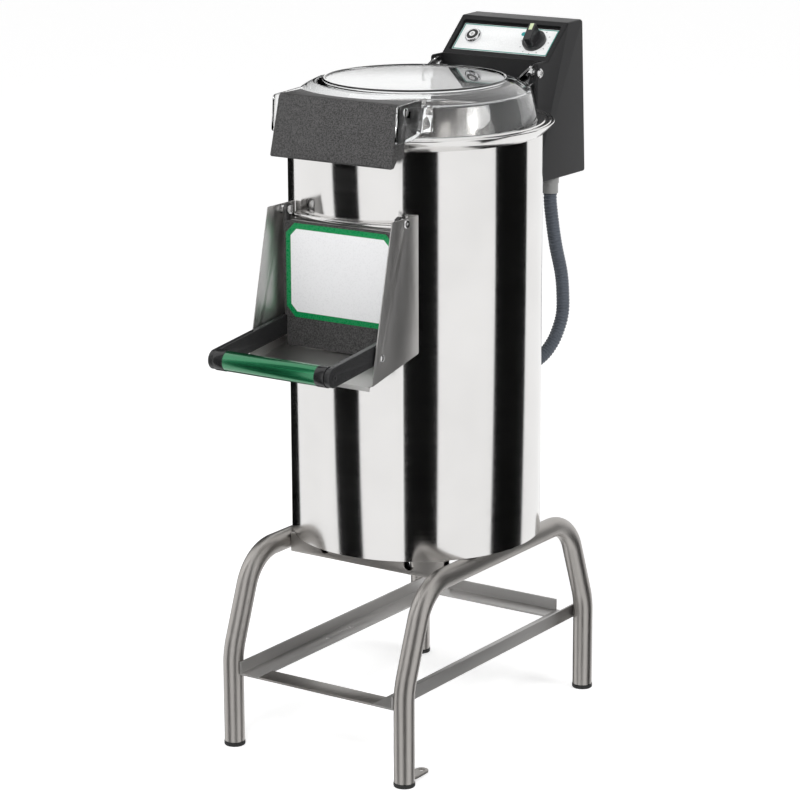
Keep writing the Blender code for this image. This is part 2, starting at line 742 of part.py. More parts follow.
# Door: a moulded panel on two ears, a rubber seal, a printed plate, two arms and the grip
arm_drop = (arm_rear_z - grip_z) / (grip_y - door_front)
arm_top = arm_rear_z + arm_height / 2 + gap * 4
step_half = arm_inner - gap
door_shape = [(-step_half, door_low_z), (step_half, door_low_z), (step_half, arm_top), (door_half_width, arm_top),
              (door_half_width, door_high_z), (-door_half_width, door_high_z), (-door_half_width, arm_top),
              (-step_half, arm_top)]
door_corners = [door_sheet, door_sheet, 0, 0, 0, 0, 0, 0]
door_panel = add("door_panel", extruded(rounded(door_shape, door_corners), -door_front, -door_front + door_sheet, "Y"),
                 dark_plastic, machine, door_axis)
first_angle = math.degrees(math.acos((door_front + door_pivot_y) / door_ear_radius))
ear_top = arc((door_pivot_y, door_pivot_z), door_ear_radius, 180 + first_angle, -50, 14)
ear_low = door_high_z - door_ear_radius * 3
ear_shape = [(-door_front, ear_low)] + ear_top + [(-door_front + door_sheet * 2, door_high_z - door_ear_radius),
                                                  (-door_front + door_sheet, ear_low)]
ear = extruded(ear_shape, ear_inner, door_half_width)
fuse(door_panel, both_sides(ear), machine)
ear_hole = extruded(arc((door_pivot_y, door_pivot_z), pivot_bolt_radius + running_gap, 0, 360 - 360 / small_steps,
                        small_steps - 1), ear_inner - overrun, door_half_width + overrun)
cut(door_panel, both_sides(ear_hole), machine)

seal_outer = spread(((0, 0), (1, 0), (1, 1), (0, 1)), (-outlet_half_width, outlet_low_z),
                    (outlet_half_width, door_high_z))
seal_front = -door_front + door_sheet + gap
seal = add("door_seal", extruded(seal_outer, seal_front, seal_front + seal_thickness, "Y"), rubber, machine, door_axis)
cut(seal, extruded(inset(seal_outer, seal_width), seal_front - overrun, seal_front + seal_thickness + overrun, "Y"),
    machine)

label_corners = [(-label_half_width, label_low_z), (label_half_width, label_low_z),
                 (label_half_width, label_high_z), (-label_half_width, label_high_z)]


def octagon(corners, size):
    """The corners of an upright rectangle, each cut off at an angle."""
    (left, low), (right, high) = corners[0], corners[2]
    return [(left + size, low), (right - size, low), (right, low + size), (right, high - size),
            (right - size, high), (left + size, high), (left, high - size), (left, low + size)]


label_back = -door_front - gap
add("door_label", extruded(octagon(label_corners, label_cut), label_back - label_sheet, label_back, "Y"),
    white_print, machine, door_axis)

arm_rear_y = -door_front + door_sheet
slope = math.degrees(math.atan(arm_drop))
arm_nose = arc((-grip_y, grip_z), arm_height / 2, 90 + slope, 270 + slope, 10)
arm_shape = arm_nose + [(arm_rear_y, arm_nose[-1][1] + (arm_rear_y - arm_nose[-1][0]) * arm_drop),
                        (arm_rear_y, arm_nose[0][1] + (arm_rear_y - arm_nose[0][0]) * arm_drop)]
arm_edge = 0.0010
screw_shank = 0.0025
for side_name, side in (("left", -1), ("right", 1)):
    low, high = sorted((side * arm_inner, side * arm_outer))
    arm = add("door_arm_" + side_name, soft_prism(arm_shape, low, high, arm_edge), black_plastic, machine, door_axis)
    cut(arm, extruded(arc((-grip_y, grip_z), screw_shank + gap, 0, 360 - 360 / small_steps, small_steps - 1),
                      low - overrun, high + overrun), machine)

add("grip_tube", along_x(turned(ring_profile(grip_radius - grip_wall, grip_radius, -grip_half_length,
                                             grip_half_length), fine_steps), -grip_y, grip_z),
    green_metal, machine, door_axis)
sleeve_plug = 0.0120
sleeve_shape = [(screw_shank + gap, grip_half_length - sleeve_plug), (grip_radius - grip_wall - gap, grip_half_length - sleeve_plug),
                (grip_radius - grip_wall - gap, grip_half_length + gap), (sleeve_radius, grip_half_length + gap),
                (sleeve_radius, arm_inner - gap), (screw_shank + gap, arm_inner - gap)]
pair("grip_sleeve", along_x(turned(sleeve_shape, fine_steps), -grip_y, grip_z), black_plastic, machine, door_axis)

# Lid: a clear moulded dome with a flat top and a raised bead, and ears for the latch and the hinge
lid_foot_z = rim_top_z + gap
skirt_lean = (lid_foot_radius - lid_shoulder_radius) / (lid_shoulder_z - lid_foot_z)
skirt_top = lid_shoulder_radius - (lid_plate_z - lid_shoulder_z) * skirt_lean
shoulder_bend = 0.0080
bead_half = 0.0030
lid_outer = rounded([(lid_foot_radius, lid_foot_z), (skirt_top, lid_plate_z), (lid_bead_radius + bead_half, lid_plate_z)],
                    shoulder_bend, closed=False, steps=3)
lid_outer += [(lid_bead_radius + bead_half / 3, lid_plate_z + lid_bead_height),
              (lid_bead_radius - bead_half / 3, lid_plate_z + lid_bead_height),
              (lid_bead_radius - bead_half, lid_plate_z), (0, lid_plate_z)]
lid_inner = rounded([(lid_foot_radius - lid_wall, lid_foot_z), (skirt_top - lid_wall, lid_plate_z - lid_wall),
                     (0, lid_plate_z - lid_wall)], shoulder_bend - lid_wall, closed=False, steps=2)
lid = add("lid_shell", turned(lid_outer[::-1] + lid_inner), clear_plastic, machine, lid_axis)

ear_stand_off = 0.0205
ear_length = 0.0755
ear_drop = 0.0525
ear_rise = 0.0050
ear_front_y = -drum_radius - ear_stand_off
ear_back_y = ear_front_y + ear_length
ear_low_z = lid_plate_z - ear_drop
ear_high_z = lid_plate_z + ear_rise
front_ear_shares = ((0, 0), (0.057, 0.945), (0.987, 1), (0.993, 0.74), (0.868, 0.157), (0.563, 0.026))
front_ear_corners = (0.004, 0.006, 0, 0, 0, 0.004)
front_ear = rounded(spread(front_ear_shares, (ear_front_y, ear_low_z), (ear_back_y, ear_high_z)), front_ear_corners)
fuse(lid, both_sides(extruded(front_ear, lid_ear_inner, lid_ear_inner + lid_ear_sheet)), machine)
flange_shares = ((0, 0), (1, 0.56), (1, 1), (0, 0.44))
flange_length = 0.0160
flange_overlap = 0.0130
flange_margin = 0.0090
flange_front_y = ear_back_y - flange_overlap
flange = spread(flange_shares, (lid_ear_inner, flange_front_y), (lid_ear_flange, flange_front_y + flange_length))
flange_low_z = ear_low_z + flange_margin
flange_high_z = ear_high_z - flange_margin
fuse(lid, both_sides(extruded(flange, flange_low_z, flange_high_z, "Z")), machine)

hinge_centre = (lid_pivot_y, lid_pivot_z)
rear_ear_drop = 0.0260
rear_ear_length = 0.0415
rear_ear_low_z = lid_plate_z - rear_ear_drop
rear_ear_root = lid_pivot_y - rear_ear_length
rear_ear = [(rear_ear_root, lid_plate_z - lid_wall / 2), (rear_ear_root, rear_ear_low_z)]
rear_ear += arc(hinge_centre, lid_rear_ear_radius, -75, 105, 10)
fuse(lid, both_sides(extruded(rear_ear, lid_rear_ear_inner, lid_rear_ear_outer)), machine)
drill_steps = small_steps - 1
drill_end = 360 - 360 / small_steps
lid_drills = [both_sides(extruded(arc(hinge_centre, lid_bolt_radius + running_gap, 0, drill_end, drill_steps),
                                  lid_rear_ear_inner - overrun, lid_rear_ear_outer + overrun)),
              both_sides(extruded(arc((latch_y, latch_z), latch_screw_radius + gap, 0, drill_end, drill_steps),
                                  lid_ear_inner - gap * 2, lid_ear_inner + lid_ear_sheet + overrun))]
cut(lid, together(*lid_drills), machine)

# Latch handle: a hollow moulding between the lid's front ears, which swings out at its foot
cheek_inner = latch_half_width - latch_wall
ear_outer = lid_ear_inner + lid_ear_sheet
latch_lip = 0.0325
latch_tail = 0.0445
latch_drop = 0.0840
latch_cover = 0.0030
latch_low = (latch_y - latch_lip, lid_plate_z - latch_drop)
latch_high = (latch_y + latch_tail, lid_plate_z + latch_cover)
cheek_shares = ((0, 0), (0.321, 1), (1, 1), (1, 0.92), (0.943, 0.678), (0.83, 0.483), (0.472, 0.431),
                (0.472, 0.144), (0.226, 0.115), (0.132, 0.011))
cheek_corners = (0.003, 0.006, 0, 0, 0, 0, 0.002, 0.002, 0.002, 0.001)
cheek = rounded(spread(cheek_shares, latch_low, latch_high), cheek_corners)
latch_edge = 0.0015
latch = add("latch_handle", soft_prism(cheek, -latch_half_width, latch_half_width, latch_edge), dark_plastic,
            machine, latch_axis)
face_run = (latch_high[0] - latch_low[0]) * cheek_shares[1][0]
face_rise = latch_high[1] - latch_low[1]
face_wall = latch_wall * math.hypot(face_run, face_rise) / face_rise
below = latch_low[1] - overrun
hollow = [(latch_low[0] + face_wall - overrun * face_run / face_rise, below),
          (latch_low[0] + face_wall + face_run * (1 - latch_wall / face_rise), latch_high[1] - latch_wall),
          (latch_high[0] + overrun, latch_high[1] - latch_wall), (latch_high[0] + overrun, below)]
cut(latch, extruded(hollow, -cheek_inner, cheek_inner), machine)
cut(latch, turned(disc_profile(latch_clear_radius, latch_high[1] - latch_wall - overrun, latch_high[1] + overrun)),
    machine)
patch_low = latch_low[1] + latch_wall
patch = [(latch_low[0] + face_run * (z - latch_low[1]) / face_rise + lift, z) for z, lift in (
    (patch_low, -latch_patch_rise), (latch_patch_high_z, -latch_patch_rise),
    (latch_patch_high_z, latch_wall / 2), (patch_low, latch_wall / 2))]
fuse(latch, extruded(patch, -latch_patch_half_width, latch_patch_half_width), machine)
cut(latch, both_sides(extruded(arc((latch_y, latch_z), latch_screw_radius + running_gap, 0, drill_end, drill_steps),
                               cheek_inner - gap * 3, latch_half_width + overrun)), machine)

latch_nut_radius = 0.0050
latch_nut = 0.0024
latch_screw_shape = [(0, cheek_inner - gap - latch_nut), (latch_nut_radius, cheek_inner - gap - latch_nut),
                     (latch_nut_radius, cheek_inner - gap), (latch_screw_radius, cheek_inner - gap),
                     (latch_screw_radius, ear_outer + gap), (latch_screw_head_radius, ear_outer + gap),
                     (latch_screw_head_radius, ear_outer + gap + latch_screw_head / 2),
                     (latch_screw_head_radius * 0.7, ear_outer + gap + latch_screw_head),
                     (0, ear_outer + gap + latch_screw_head)]
pair("latch_screw", along_x(turned(latch_screw_shape, small_steps), latch_y, latch_z), bright_steel, machine, lid_axis)

# Control box: one hollow moulding that wraps the drum, with a pocket for the lid's hinge ears
box_shares = ((0, 0), (0, 0.7765), (0.217, 0.7765), (0.6175, 0.9949), (0.9187, 1), (1, 0))
box_corners = (0.003, 0.005, 0, 0.003, 0.006, 0.004)
box_outline = rounded(spread(box_shares, (box_front, box_low_z), (box_rear_low, box_top_z)), box_corners)
box_edge = 0.0030
box = add("control_box", soft_prism(box_outline, -box_half_width, box_half_width, box_edge), black_plastic,
          machine)
cut(box, turned(disc_profile(box_clear_radius, box_low_z - overrun, box_ledge_z + overrun)), machine)
pocket = [(0, pocket_low_z), (pocket_rear, pocket_low_z), (pocket_rear, box_top_z + overrun),
          (0, box_top_z + overrun)]
cut(box, extruded(pocket, -pocket_half_width, pocket_half_width), machine)
recess = [(-recess_half_width, recess_low), (recess_half_width, recess_low), (recess_half_width, recess_high),
          (-recess_half_width, recess_high)]
cut(box, extruded(rounded(recess, box_edge), -recess_depth, overrun, "Z"), panel)

cavity_half = box_half_width - box_wall
cavity_low = box_low_z + box_wall
cavity_front = pocket_rear + box_wall
behind = recess_depth + box_wall
slope_y = panel_low_y + behind * math.sin(panel_tilt)
slope_z = box_ledge_z - behind * math.cos(panel_tilt)
cavity_top = box_top_z - box_wall
cavity_back = box_rear_low + overrun
cavity = [(cavity_front, cavity_low), (cavity_front, slope_z - (slope_y - cavity_front) * math.tan(panel_tilt)),
          (slope_y + (cavity_top - slope_z) / math.tan(panel_tilt), cavity_top), (cavity_back, cavity_top),
          (cavity_back, cavity_low)]
cut(box, extruded(cavity, -cavity_half, cavity_half), machine)
lower_radius = box_clear_radius + box_wall
lower_angle = math.degrees(math.acos(cavity_half / lower_radius))
lower_plan = arc((0, 0), lower_radius, lower_angle, 180 - lower_angle, corner_steps * 2)
lower_plan += [(-cavity_half, cavity_front + overrun), (cavity_half, cavity_front + overrun)]
cut(box, extruded(lower_plan, cavity_low, pocket_low_z - box_wall, "Z"), machine)

gland_spigot = 0.0080
spigot_clear = gland_spigot + gap
conduit_x = conduit_reach * math.cos(conduit_angle)
conduit_y = conduit_reach * math.sin(conduit_angle)
cable_x = 0.0600
cable_margin = 0.0638
cable_at = (-cable_x, box_rear_low - cable_margin)
box_drills = [shifted(turned(disc_profile(spigot_clear, box_low_z - overrun, cavity_low + overrun), small_steps), *place)
              for place in ((conduit_x, conduit_y), cable_at)]
box_drills.append(both_sides(extruded(arc(hinge_centre, lid_bolt_radius + gap, 0, drill_end, drill_steps),
                                      pocket_half_width - overrun, box_half_width + overrun)))
cut(box, together(*box_drills), machine)
stem_clear = button_stem_radius + gap
shaft_clear = knob_shaft_radius + running_gap
panel_drill_low = -behind - overrun
panel_drills = [shifted(turned(disc_profile(size, panel_drill_low, overrun), small_steps), x, item_height)
                for x, size in ((button_x, stem_clear), (knob_x, shaft_clear))]
cut(box, together(*[drill.copy() for drill in panel_drills]), panel)

cover_gap = gap * 2


def rear_face(z, inward):
    """A point of the box's leaning rear face, or in front of it."""
    return box_rear_low + (box_rear_top - box_rear_low) * (z - box_low_z) / (box_top_z - box_low_z) - inward


cover_ends = (cavity_low + cover_gap, cavity_top - cover_gap)
cover_shape = [(rear_face(z, cover_gap), z) for z in cover_ends]
cover_shape += [(rear_face(z, cover_gap + cover_sheet), z) for z in reversed(cover_ends)]
add("box_rear_cover", extruded(cover_shape, -cavity_half + gap, cavity_half - gap), black_plastic, machine)

bracket_first = 75
bracket_last = 180 - bracket_first
bracket_rise = 0.0205
bracket_height = 0.0600
bracket_low_z = box_low_z + bracket_rise
bracket_high_z = bracket_low_z + bracket_height
bracket_wall = 0.0020
bracket_inner = drum_radius + gap
bracket_outer = box_clear_radius - gap
leg_turn = math.degrees(bracket_wall / bracket_inner)
bracket_plan = arc((0, 0), bracket_outer, bracket_first, bracket_last, 4)
bracket_plan += arc((0, 0), bracket_inner, bracket_last, bracket_last - leg_turn, 1)
bracket_plan += arc((0, 0), bracket_outer - bracket_wall, bracket_last - leg_turn, bracket_first + leg_turn, 4)
bracket_plan += arc((0, 0), bracket_inner, bracket_first + leg_turn, bracket_first, 1)
add("box_bracket", extruded(bracket_plan, bracket_low_z, bracket_high_z, "Z"), tube_steel, machine)

# Control panel: printed plate, start button in its bezel, and the timer with its knob
plate_high_face = plate_sheet + gap - recess_depth
plate_shape = [(-plate_half_width, plate_low), (plate_half_width, plate_low), (plate_half_width, plate_high),
               (-plate_half_width, plate_high)]
printed = add("control_label", extruded(plate_shape, plate_high_face - plate_sheet, plate_high_face, "Z"),
              white_print, panel)
cut(printed, together(*panel_drills), panel)

bezel_low = plate_high_face + gap
bezel_high = bezel_low + bezel_height
bezel_floor = 0.0017
bezel_bore = button_radius + gap
bezel_shape = [(stem_clear, bezel_low), (bezel_radius, bezel_low), (bezel_radius, bezel_high - button_travel),
               (bezel_radius - bezel_floor, bezel_high), (bezel_bore, bezel_high),
               (bezel_bore, bezel_low + bezel_floor), (stem_clear, bezel_low + bezel_floor)]
button_at = (button_x, item_height, 0)
add("button_bezel", shifted(turned(bezel_shape, fine_steps), *button_at), aluminium, panel)
cap_high = bezel_high + button_proud
cap_low = cap_high - button_cap
button_shape = [(0, -button_stem_length), (button_stem_radius, -button_stem_length), (button_stem_radius, cap_low),
                (button_radius, cap_low), (button_radius, cap_high - button_proud),
                (button_radius - button_proud, cap_high), (0, cap_high)]
add("start_button", shifted(turned(button_shape, fine_steps), *button_at), white_print, panel, button_at)

knob_at = (knob_x, item_height, 0)
knob_low = plate_high_face + running_gap
knob_mid = knob_low + knob_skirt
skirt_step = 0.0012
knob_shape = [(0, -knob_shaft_length), (knob_shaft_radius, -knob_shaft_length), (knob_shaft_radius, knob_low),
              (knob_radius, knob_low), (knob_radius, knob_mid - skirt_step), (knob_radius - skirt_step, knob_mid),
              (0, knob_mid)]
knob = add("timer_knob", shifted(turned(knob_shape, fine_steps), *knob_at), black_plastic, panel, knob_at)
knob_turn = math.radians(6)
bar_half = knob_grip_width / 2
bar_end = knob_grip_length / 2
bar_plan = rounded([(-bar_half, -bar_end), (bar_half, -bar_end), (bar_half, bar_end), (-bar_half, bar_end)],
                   bar_half * 0.6)
grip_bar = soft_prism(bar_plan, knob_mid - skirt_step, knob_mid + knob_grip_height, skirt_step, "Z")
fuse(knob, moved(grip_bar, Matrix.Translation(knob_at) @ Matrix.Rotation(knob_turn, 4, "Z")), panel)

# Lid hinge bolts through the cheeks of the box
hinge_nut = 0.0037
hinge_nut_radius = 0.0060
hinge_shape = [(0, lid_rear_ear_inner - gap - hinge_nut), (hinge_nut_radius, lid_rear_ear_inner - gap - hinge_nut),
               (hinge_nut_radius, lid_rear_ear_inner - gap), (lid_bolt_radius, lid_rear_ear_inner - gap),
               (lid_bolt_radius, box_half_width + gap), (lid_bolt_head_radius, box_half_width + gap),
               (lid_bolt_head_radius, box_half_width + gap + lid_bolt_head / 2),
               (lid_bolt_head_radius * 0.75, box_half_width + gap + lid_bolt_head),
               (0, box_half_width + gap + lid_bolt_head)]
pair("lid_pivot_bolt", along_x(turned(hinge_shape, small_steps), lid_pivot_y, lid_pivot_z), bright_steel, machine)


# Conduit: a ribbed hose held between two glands, and the glands
def along_radius(bm, z, angle):
    """A piece turned about Z, laid along the drum's radius at one angle."""
    return moved(bm, Matrix.Translation((0, 0, z)) @ Matrix.Rotation(angle, 4, "Z")
                 @ Matrix.Rotation(math.pi / 2, 4, "Y"))


gland_nut = 0.0042
gland_nut_radius = 0.0115
gland_passage = 0.0058
gland_grip = 0.0160
gland_rib = 0.0010


def gland(wall, bore):
    """A screwed gland: its seat is z = 0, its mouth stands up and its spigot passes a wall below."""
    hexagon = gland_length * 0.35
    return turned([(gland_passage, -wall - gland_nut * 2), (gland_spigot, -wall - gland_nut * 2),
                   (gland_spigot, -wall - gland_nut - gap), (gland_nut_radius, -wall - gland_nut - gap),
                   (gland_nut_radius, -wall - gap), (gland_spigot, -wall - gap), (gland_spigot, gap),
                   (gland_radius, gap), (gland_radius, hexagon), (gland_radius - gland_rib, hexagon + gland_rib),
                   (gland_radius - gland_rib, gland_length),
                   (bore, gland_length), (bore, gland_length - gland_grip), (gland_passage, gland_length - gland_grip)],
                  small_steps)


def hung(bm, x, y, z):
    """A gland turned over, so that it hangs from a level wall."""
    return moved(bm, Matrix.Translation((x, y, z)) @ Matrix.Rotation(math.pi, 4, "X"))


shell_wall = sheet + gap * 2
add("conduit_gland_box", hung(gland(box_wall, gland_bore), conduit_x, conduit_y, box_low_z), grey_nylon, machine)
drum_gland = shifted(gland(shell_wall, gland_bore), 0, 0, drum_radius)
add("conduit_gland_drum", along_radius(drum_gland, conduit_entry_z, conduit_angle), grey_nylon, machine)
cable_bore = gland_passage + gland_rib
add("power_cable_gland", hung(gland(box_wall, cable_bore), *cable_at, box_low_z), black_plastic, machine)

inlet_angle = math.radians(180)
inlet_drop = 0.0590
inlet_z = drum_top_z - inlet_drop
inlet_radius = 0.0120
inlet_nozzle = 0.0100
inlet_bore = 0.0075
inlet_length = 0.0160
inlet_reach = drum_radius + inlet_length
inlet_shape = [(inlet_bore, shell_inner - inlet_nozzle), (inlet_nozzle, shell_inner - inlet_nozzle),
               (inlet_nozzle, drum_radius + gap), (inlet_radius * 1.3, drum_radius + gap),
               (inlet_radius * 1.3, drum_radius + inlet_nozzle / 2), (inlet_radius, drum_radius + inlet_nozzle / 2),
               (inlet_radius, inlet_reach), (inlet_bore, inlet_reach)]
add("water_inlet", along_radius(turned(inlet_shape, fine_steps), inlet_z, inlet_angle), bright_steel, machine)
shell_drills = [along_radius(turned(disc_profile(spigot_clear, mouth_back * -1, drum_radius + overrun), small_steps),
                             conduit_entry_z, conduit_angle),
                along_radius(turned(disc_profile(inlet_nozzle + gap * 2, mouth_back * -1, drum_radius + overrun),
                                    small_steps), inlet_z, inlet_angle)]
cut(shell, together(*shell_drills), machine)

conduit_end_z = box_low_z - gland_length + gland_grip - gap * 3
conduit_end_reach = drum_radius + gland_length - gland_grip + gap * 3
lead = conduit_radius * 2
route_shares = ((0.115, 0.821), (0.419, 0.656), (0.867, 0.483), (1, 0.351), (0.968, 0.259), (0.724, 0.184),
                (0.258, 0.105), (-0.494, 0.040))
route_turns = [(conduit_reach, conduit_end_z), (conduit_reach, conduit_end_z - lead)]
route_turns += spread(route_shares, (conduit_reach, conduit_entry_z), (conduit_reach + conduit_bulge, conduit_end_z))
route_turns += [(conduit_end_reach + lead, conduit_entry_z), (conduit_end_reach, conduit_entry_z)]


def smooth_route(points, step):
    """A soft curve through the points, straight at both ends, given again at even steps."""
    fine = []
    share = corner_steps * 3
    end = len(points) - 1

    def heading(k):
        near, far = (0, 1) if k <= 1 else (end - 1, end) if k >= end - 1 else (k - 1, k + 1)
        return (Vector(points[far]) - Vector(points[near])).normalized()

    for i in range(end):
        first, last = Vector(points[i]), Vector(points[i + 1])
        start = heading(i) * (last - first).length
        finish = heading(i + 1) * (last - first).length
        for k in range(share):
            t = k / share
            fine.append(first * (2 * t ** 3 - 3 * t ** 2 + 1) + start * (t ** 3 - 2 * t ** 2 + t)
                        + last * (3 * t ** 2 - 2 * t ** 3) + finish * (t ** 3 - t ** 2))
    fine.append(Vector(points[-1]))
    total = sum((b - a).length for a, b in zip(fine, fine[1:]))
    count = round(total / step / 2) * 2
    even, passed, k = [], 0, 0
    for i in range(count + 1):
        goal = total * i / count
        while k < len(fine) - 2 and passed + (fine[k + 1] - fine[k]).length < goal:
            passed += (fine[k + 1] - fine[k]).length
            k += 1
        part = (fine[k + 1] - fine[k])
        even.append(fine[k] + part * min((goal - passed) / part.length, 1))
    return even


def in_radial_plane(point):
    return (point[0] * math.cos(conduit_angle), point[0] * math.sin(conduit_angle), point[1])


ribs = [in_radial_plane(point) for point in smooth_route(route_turns, conduit_pitch / 2)]
swell = [1 if k % 2 else 1 - conduit_rib / conduit_radius for k in range(len(ribs))]
conduit = add("conduit", tube(ribs, conduit_radius, 2, swell), grey_pvc, machine)
ends = [Vector(ribs[0]) * 2 - Vector(ribs[1]), Vector(ribs[-1]) * 2 - Vector(ribs[-2])]
plain = [tuple(ends[0])] + ribs[3:-2:7] + [tuple(ends[1])]
cut(conduit, tube(plain, conduit_bore, 2), machine)

# Drive: bearing housing, spindle with the abrasive disc, motor, pulleys and belt
bearing_outer = 0.0260
seat = bearing_outer + gap
journal = spindle_radius + running_gap
housing_body = 0.0380
housing_flange = 0.0600
flange_top = floor_low - gap
housing_flange_sheet = 0.0080
flange_low = flange_top - housing_flange_sheet
housing_top = chamber_floor_z + mount_sheet
seat_depth = 0.0303
top_seat = housing_top - seat_depth
housing_shape = [(journal, housing_low_z), (journal, top_seat), (seat, top_seat), (seat, housing_top),
                 (neck_radius, housing_top), (neck_radius, flange_top), (housing_flange, flange_top),
                 (housing_flange, flange_low), (housing_body, flange_low), (housing_body, housing_low_z)]
add("bearing_housing", turned(housing_shape, fine_steps), cast_iron, machine)
bearing_width = 0.0160
add("spindle_bearing", turned(ring_profile(journal, bearing_outer, top_seat + gap, top_seat + bearing_width),
                              fine_steps), bright_steel, machine)

plate_low_z = disc_top_z - disc_thickness
hub_radius = spindle_radius * 2
disc_shape = [(journal, plate_low_z - disc_thickness), (hub_radius, plate_low_z - disc_thickness),
              (hub_radius, plate_low_z), (disc_radius, plate_low_z), (disc_radius, disc_top_z),
              (journal, disc_top_z)]
disc = add("abrasive_disc", turned(disc_shape), abrasive, machine, (0, 0, plate_low_z))
ridge_half = 0.0150
ridge_low = disc_top_z - gap * 3
ridge_outline = [(-ridge_half, ridge_low), (ridge_half, ridge_low), (ridge_half * 0.5, ridge_low + mount_sheet),
                 (-ridge_half * 0.5, ridge_low + mount_sheet)]
for k in range(3):
    ridge = extruded(ridge_outline, disc_radius * 0.27, disc_radius * 0.95)
    fuse(disc, moved(ridge, Matrix.Rotation(2 * math.pi * k / 3, 4, "Z")), machine)

cap_radius = 0.0220
cap_seat = disc_top_z + gap
cap_height = 0.0042
spindle_shape = [(0, spindle_low_z), (spindle_radius, spindle_low_z), (spindle_radius, cap_seat),
                 (cap_radius, cap_seat), (cap_radius, cap_seat + cap_height),
                 (cap_radius * 0.7, cap_seat + cap_height * 1.8), (0, cap_seat + cap_height * 2)]
add("spindle", turned(spindle_shape, fine_steps), bright_steel, machine, (0, 0, plate_low_z))


def pulley(name, radius, bore, x, y, steps):
    """A pulley with one V groove, whose flanks clear the belt."""
    low = pulley_z - pulley_width / 2
    high = pulley_z + pulley_width / 2
    outer_half = belt_outer_half + running_gap
    inner_half = belt_inner_half + running_gap
    root = radius - belt_depth - running_gap * 2
    shape = [(bore, low), (radius, low), (radius, pulley_z - outer_half), (root, pulley_z - inner_half),
             (root, pulley_z + inner_half), (radius, pulley_z + outer_half), (radius, high), (bore, high)]
    return add(name, shifted(turned(shape, steps), x, y), cast_iron, machine, (x, y, pulley_z))


pulley("disc_pulley", disc_pulley_radius, journal, 0, 0, fine_steps)
pulley("motor_pulley", motor_pulley_radius, motor_shaft_radius + gap, 0, motor_offset, fine_steps)

belt_turn = math.degrees(math.acos((disc_pulley_radius - motor_pulley_radius) / motor_offset))
belt_round = 1 / math.cos(math.pi / fine_steps)


def belt_stations(y, radius, first, last, steps):
    """Sections of the belt, square to its run, where it lies round one pulley."""
    rings = []
    outer_arc = arc((0, y), radius * belt_round, first, last, steps)
    inner_arc = arc((0, y), (radius - belt_depth) * belt_round, first, last, steps)
    for outside, inside in zip(outer_arc, inner_arc):
        rings.append([(*outside, pulley_z - belt_outer_half), (*outside, pulley_z + belt_outer_half),
                      (*inside, pulley_z + belt_inner_half), (*inside, pulley_z - belt_inner_half)])
    return rings


belt = belt_stations(0, disc_pulley_radius, 90 + belt_turn, 450 - belt_turn, fine_steps)
belt += belt_stations(motor_offset, motor_pulley_radius, 90 - belt_turn, 90 + belt_turn, small_steps)
add("drive_belt", lofted(belt, closed=True), rubber, machine)

mount_low = motor_low_z - gap - mount_sheet
mount_high = motor_low_z - gap
mount = add("motor_mount", turned(disc_profile(shell_inner - gap, mount_low, mount_high)), cast_iron, machine)
mount_holes = ((0, 0, 0.0450), (0, motor_offset, 0.0120), (*drain_at, drain_radius + sheet))
drills = [shifted(turned(disc_profile(size, mount_low - overrun, mount_high + overrun), small_steps), x, y)
          for x, y, size in mount_holes]
cut(mount, together(*drills), machine)

motor_flange = 0.0700
motor_flange_sheet = 0.0080
motor_cap_height = 0.0250
motor_flange_top = motor_low_z + motor_flange_sheet
motor_cap_low = motor_high_z - motor_cap_height
shaft_seat = 0.0300
shaft_play = motor_shaft_radius + running_gap
motor_shape = [(0, motor_low_z + shaft_seat), (shaft_play, motor_low_z + shaft_seat), (shaft_play, motor_low_z),
               (motor_flange, motor_low_z), (motor_flange, motor_flange_top), (motor_radius, motor_flange_top),
               (motor_radius, motor_cap_low), (motor_radius * 0.93, motor_cap_low),
               (motor_radius * 0.93, motor_high_z - overrun), (motor_radius * 0.85, motor_high_z), (0, motor_high_z)]
add("motor_body", shifted(turned(motor_shape, fine_steps), 0, motor_offset), cast_iron, machine)
shaft_low = pulley_z - pulley_width / 2 - sheet
add("motor_shaft", shifted(turned(disc_profile(motor_shaft_radius, shaft_low, motor_low_z + shaft_seat - gap * 2),
                                  small_steps), 0, motor_offset), bright_steel, machine, (0, motor_offset, pulley_z))

drain_flange = 0.0280
drain_shape = [(drain_radius - rail_sheet * 0.7, drain_low_z), (drain_radius, drain_low_z),
               (drain_radius, floor_low - gap - rail_sheet), (drain_flange, floor_low - gap - rail_sheet),
               (drain_flange, floor_low - gap), (drain_radius, floor_low - gap),
               (drain_radius, chamber_floor_z - gap), (drain_radius - rail_sheet * 0.7, chamber_floor_z - gap)]
add("drain_outlet", shifted(turned(drain_shape, fine_steps), *drain_at), bright_steel, machine)
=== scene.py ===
"""Looks for the electric potato peeler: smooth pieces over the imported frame, materials, light and camera."""
import json
import math

import bmesh
import bpy
import numpy as np
from mathutils import Matrix, Vector


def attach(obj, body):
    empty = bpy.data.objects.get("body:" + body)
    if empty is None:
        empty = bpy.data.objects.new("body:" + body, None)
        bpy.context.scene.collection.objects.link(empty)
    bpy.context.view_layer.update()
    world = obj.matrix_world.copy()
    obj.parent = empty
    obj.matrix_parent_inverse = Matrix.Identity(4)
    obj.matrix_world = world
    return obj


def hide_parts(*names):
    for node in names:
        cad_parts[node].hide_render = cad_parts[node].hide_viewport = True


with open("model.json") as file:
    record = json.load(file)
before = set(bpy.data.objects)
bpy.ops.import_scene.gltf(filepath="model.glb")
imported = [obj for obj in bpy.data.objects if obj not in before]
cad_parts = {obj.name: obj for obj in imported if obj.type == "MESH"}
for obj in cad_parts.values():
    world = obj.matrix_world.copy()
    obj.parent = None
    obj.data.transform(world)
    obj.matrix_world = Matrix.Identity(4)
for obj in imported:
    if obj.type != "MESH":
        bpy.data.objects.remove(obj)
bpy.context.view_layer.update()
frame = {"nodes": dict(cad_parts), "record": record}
body_of = {node: body for body, nodes in frame["record"]["behaviour"]["bodies"].items() for node in nodes}

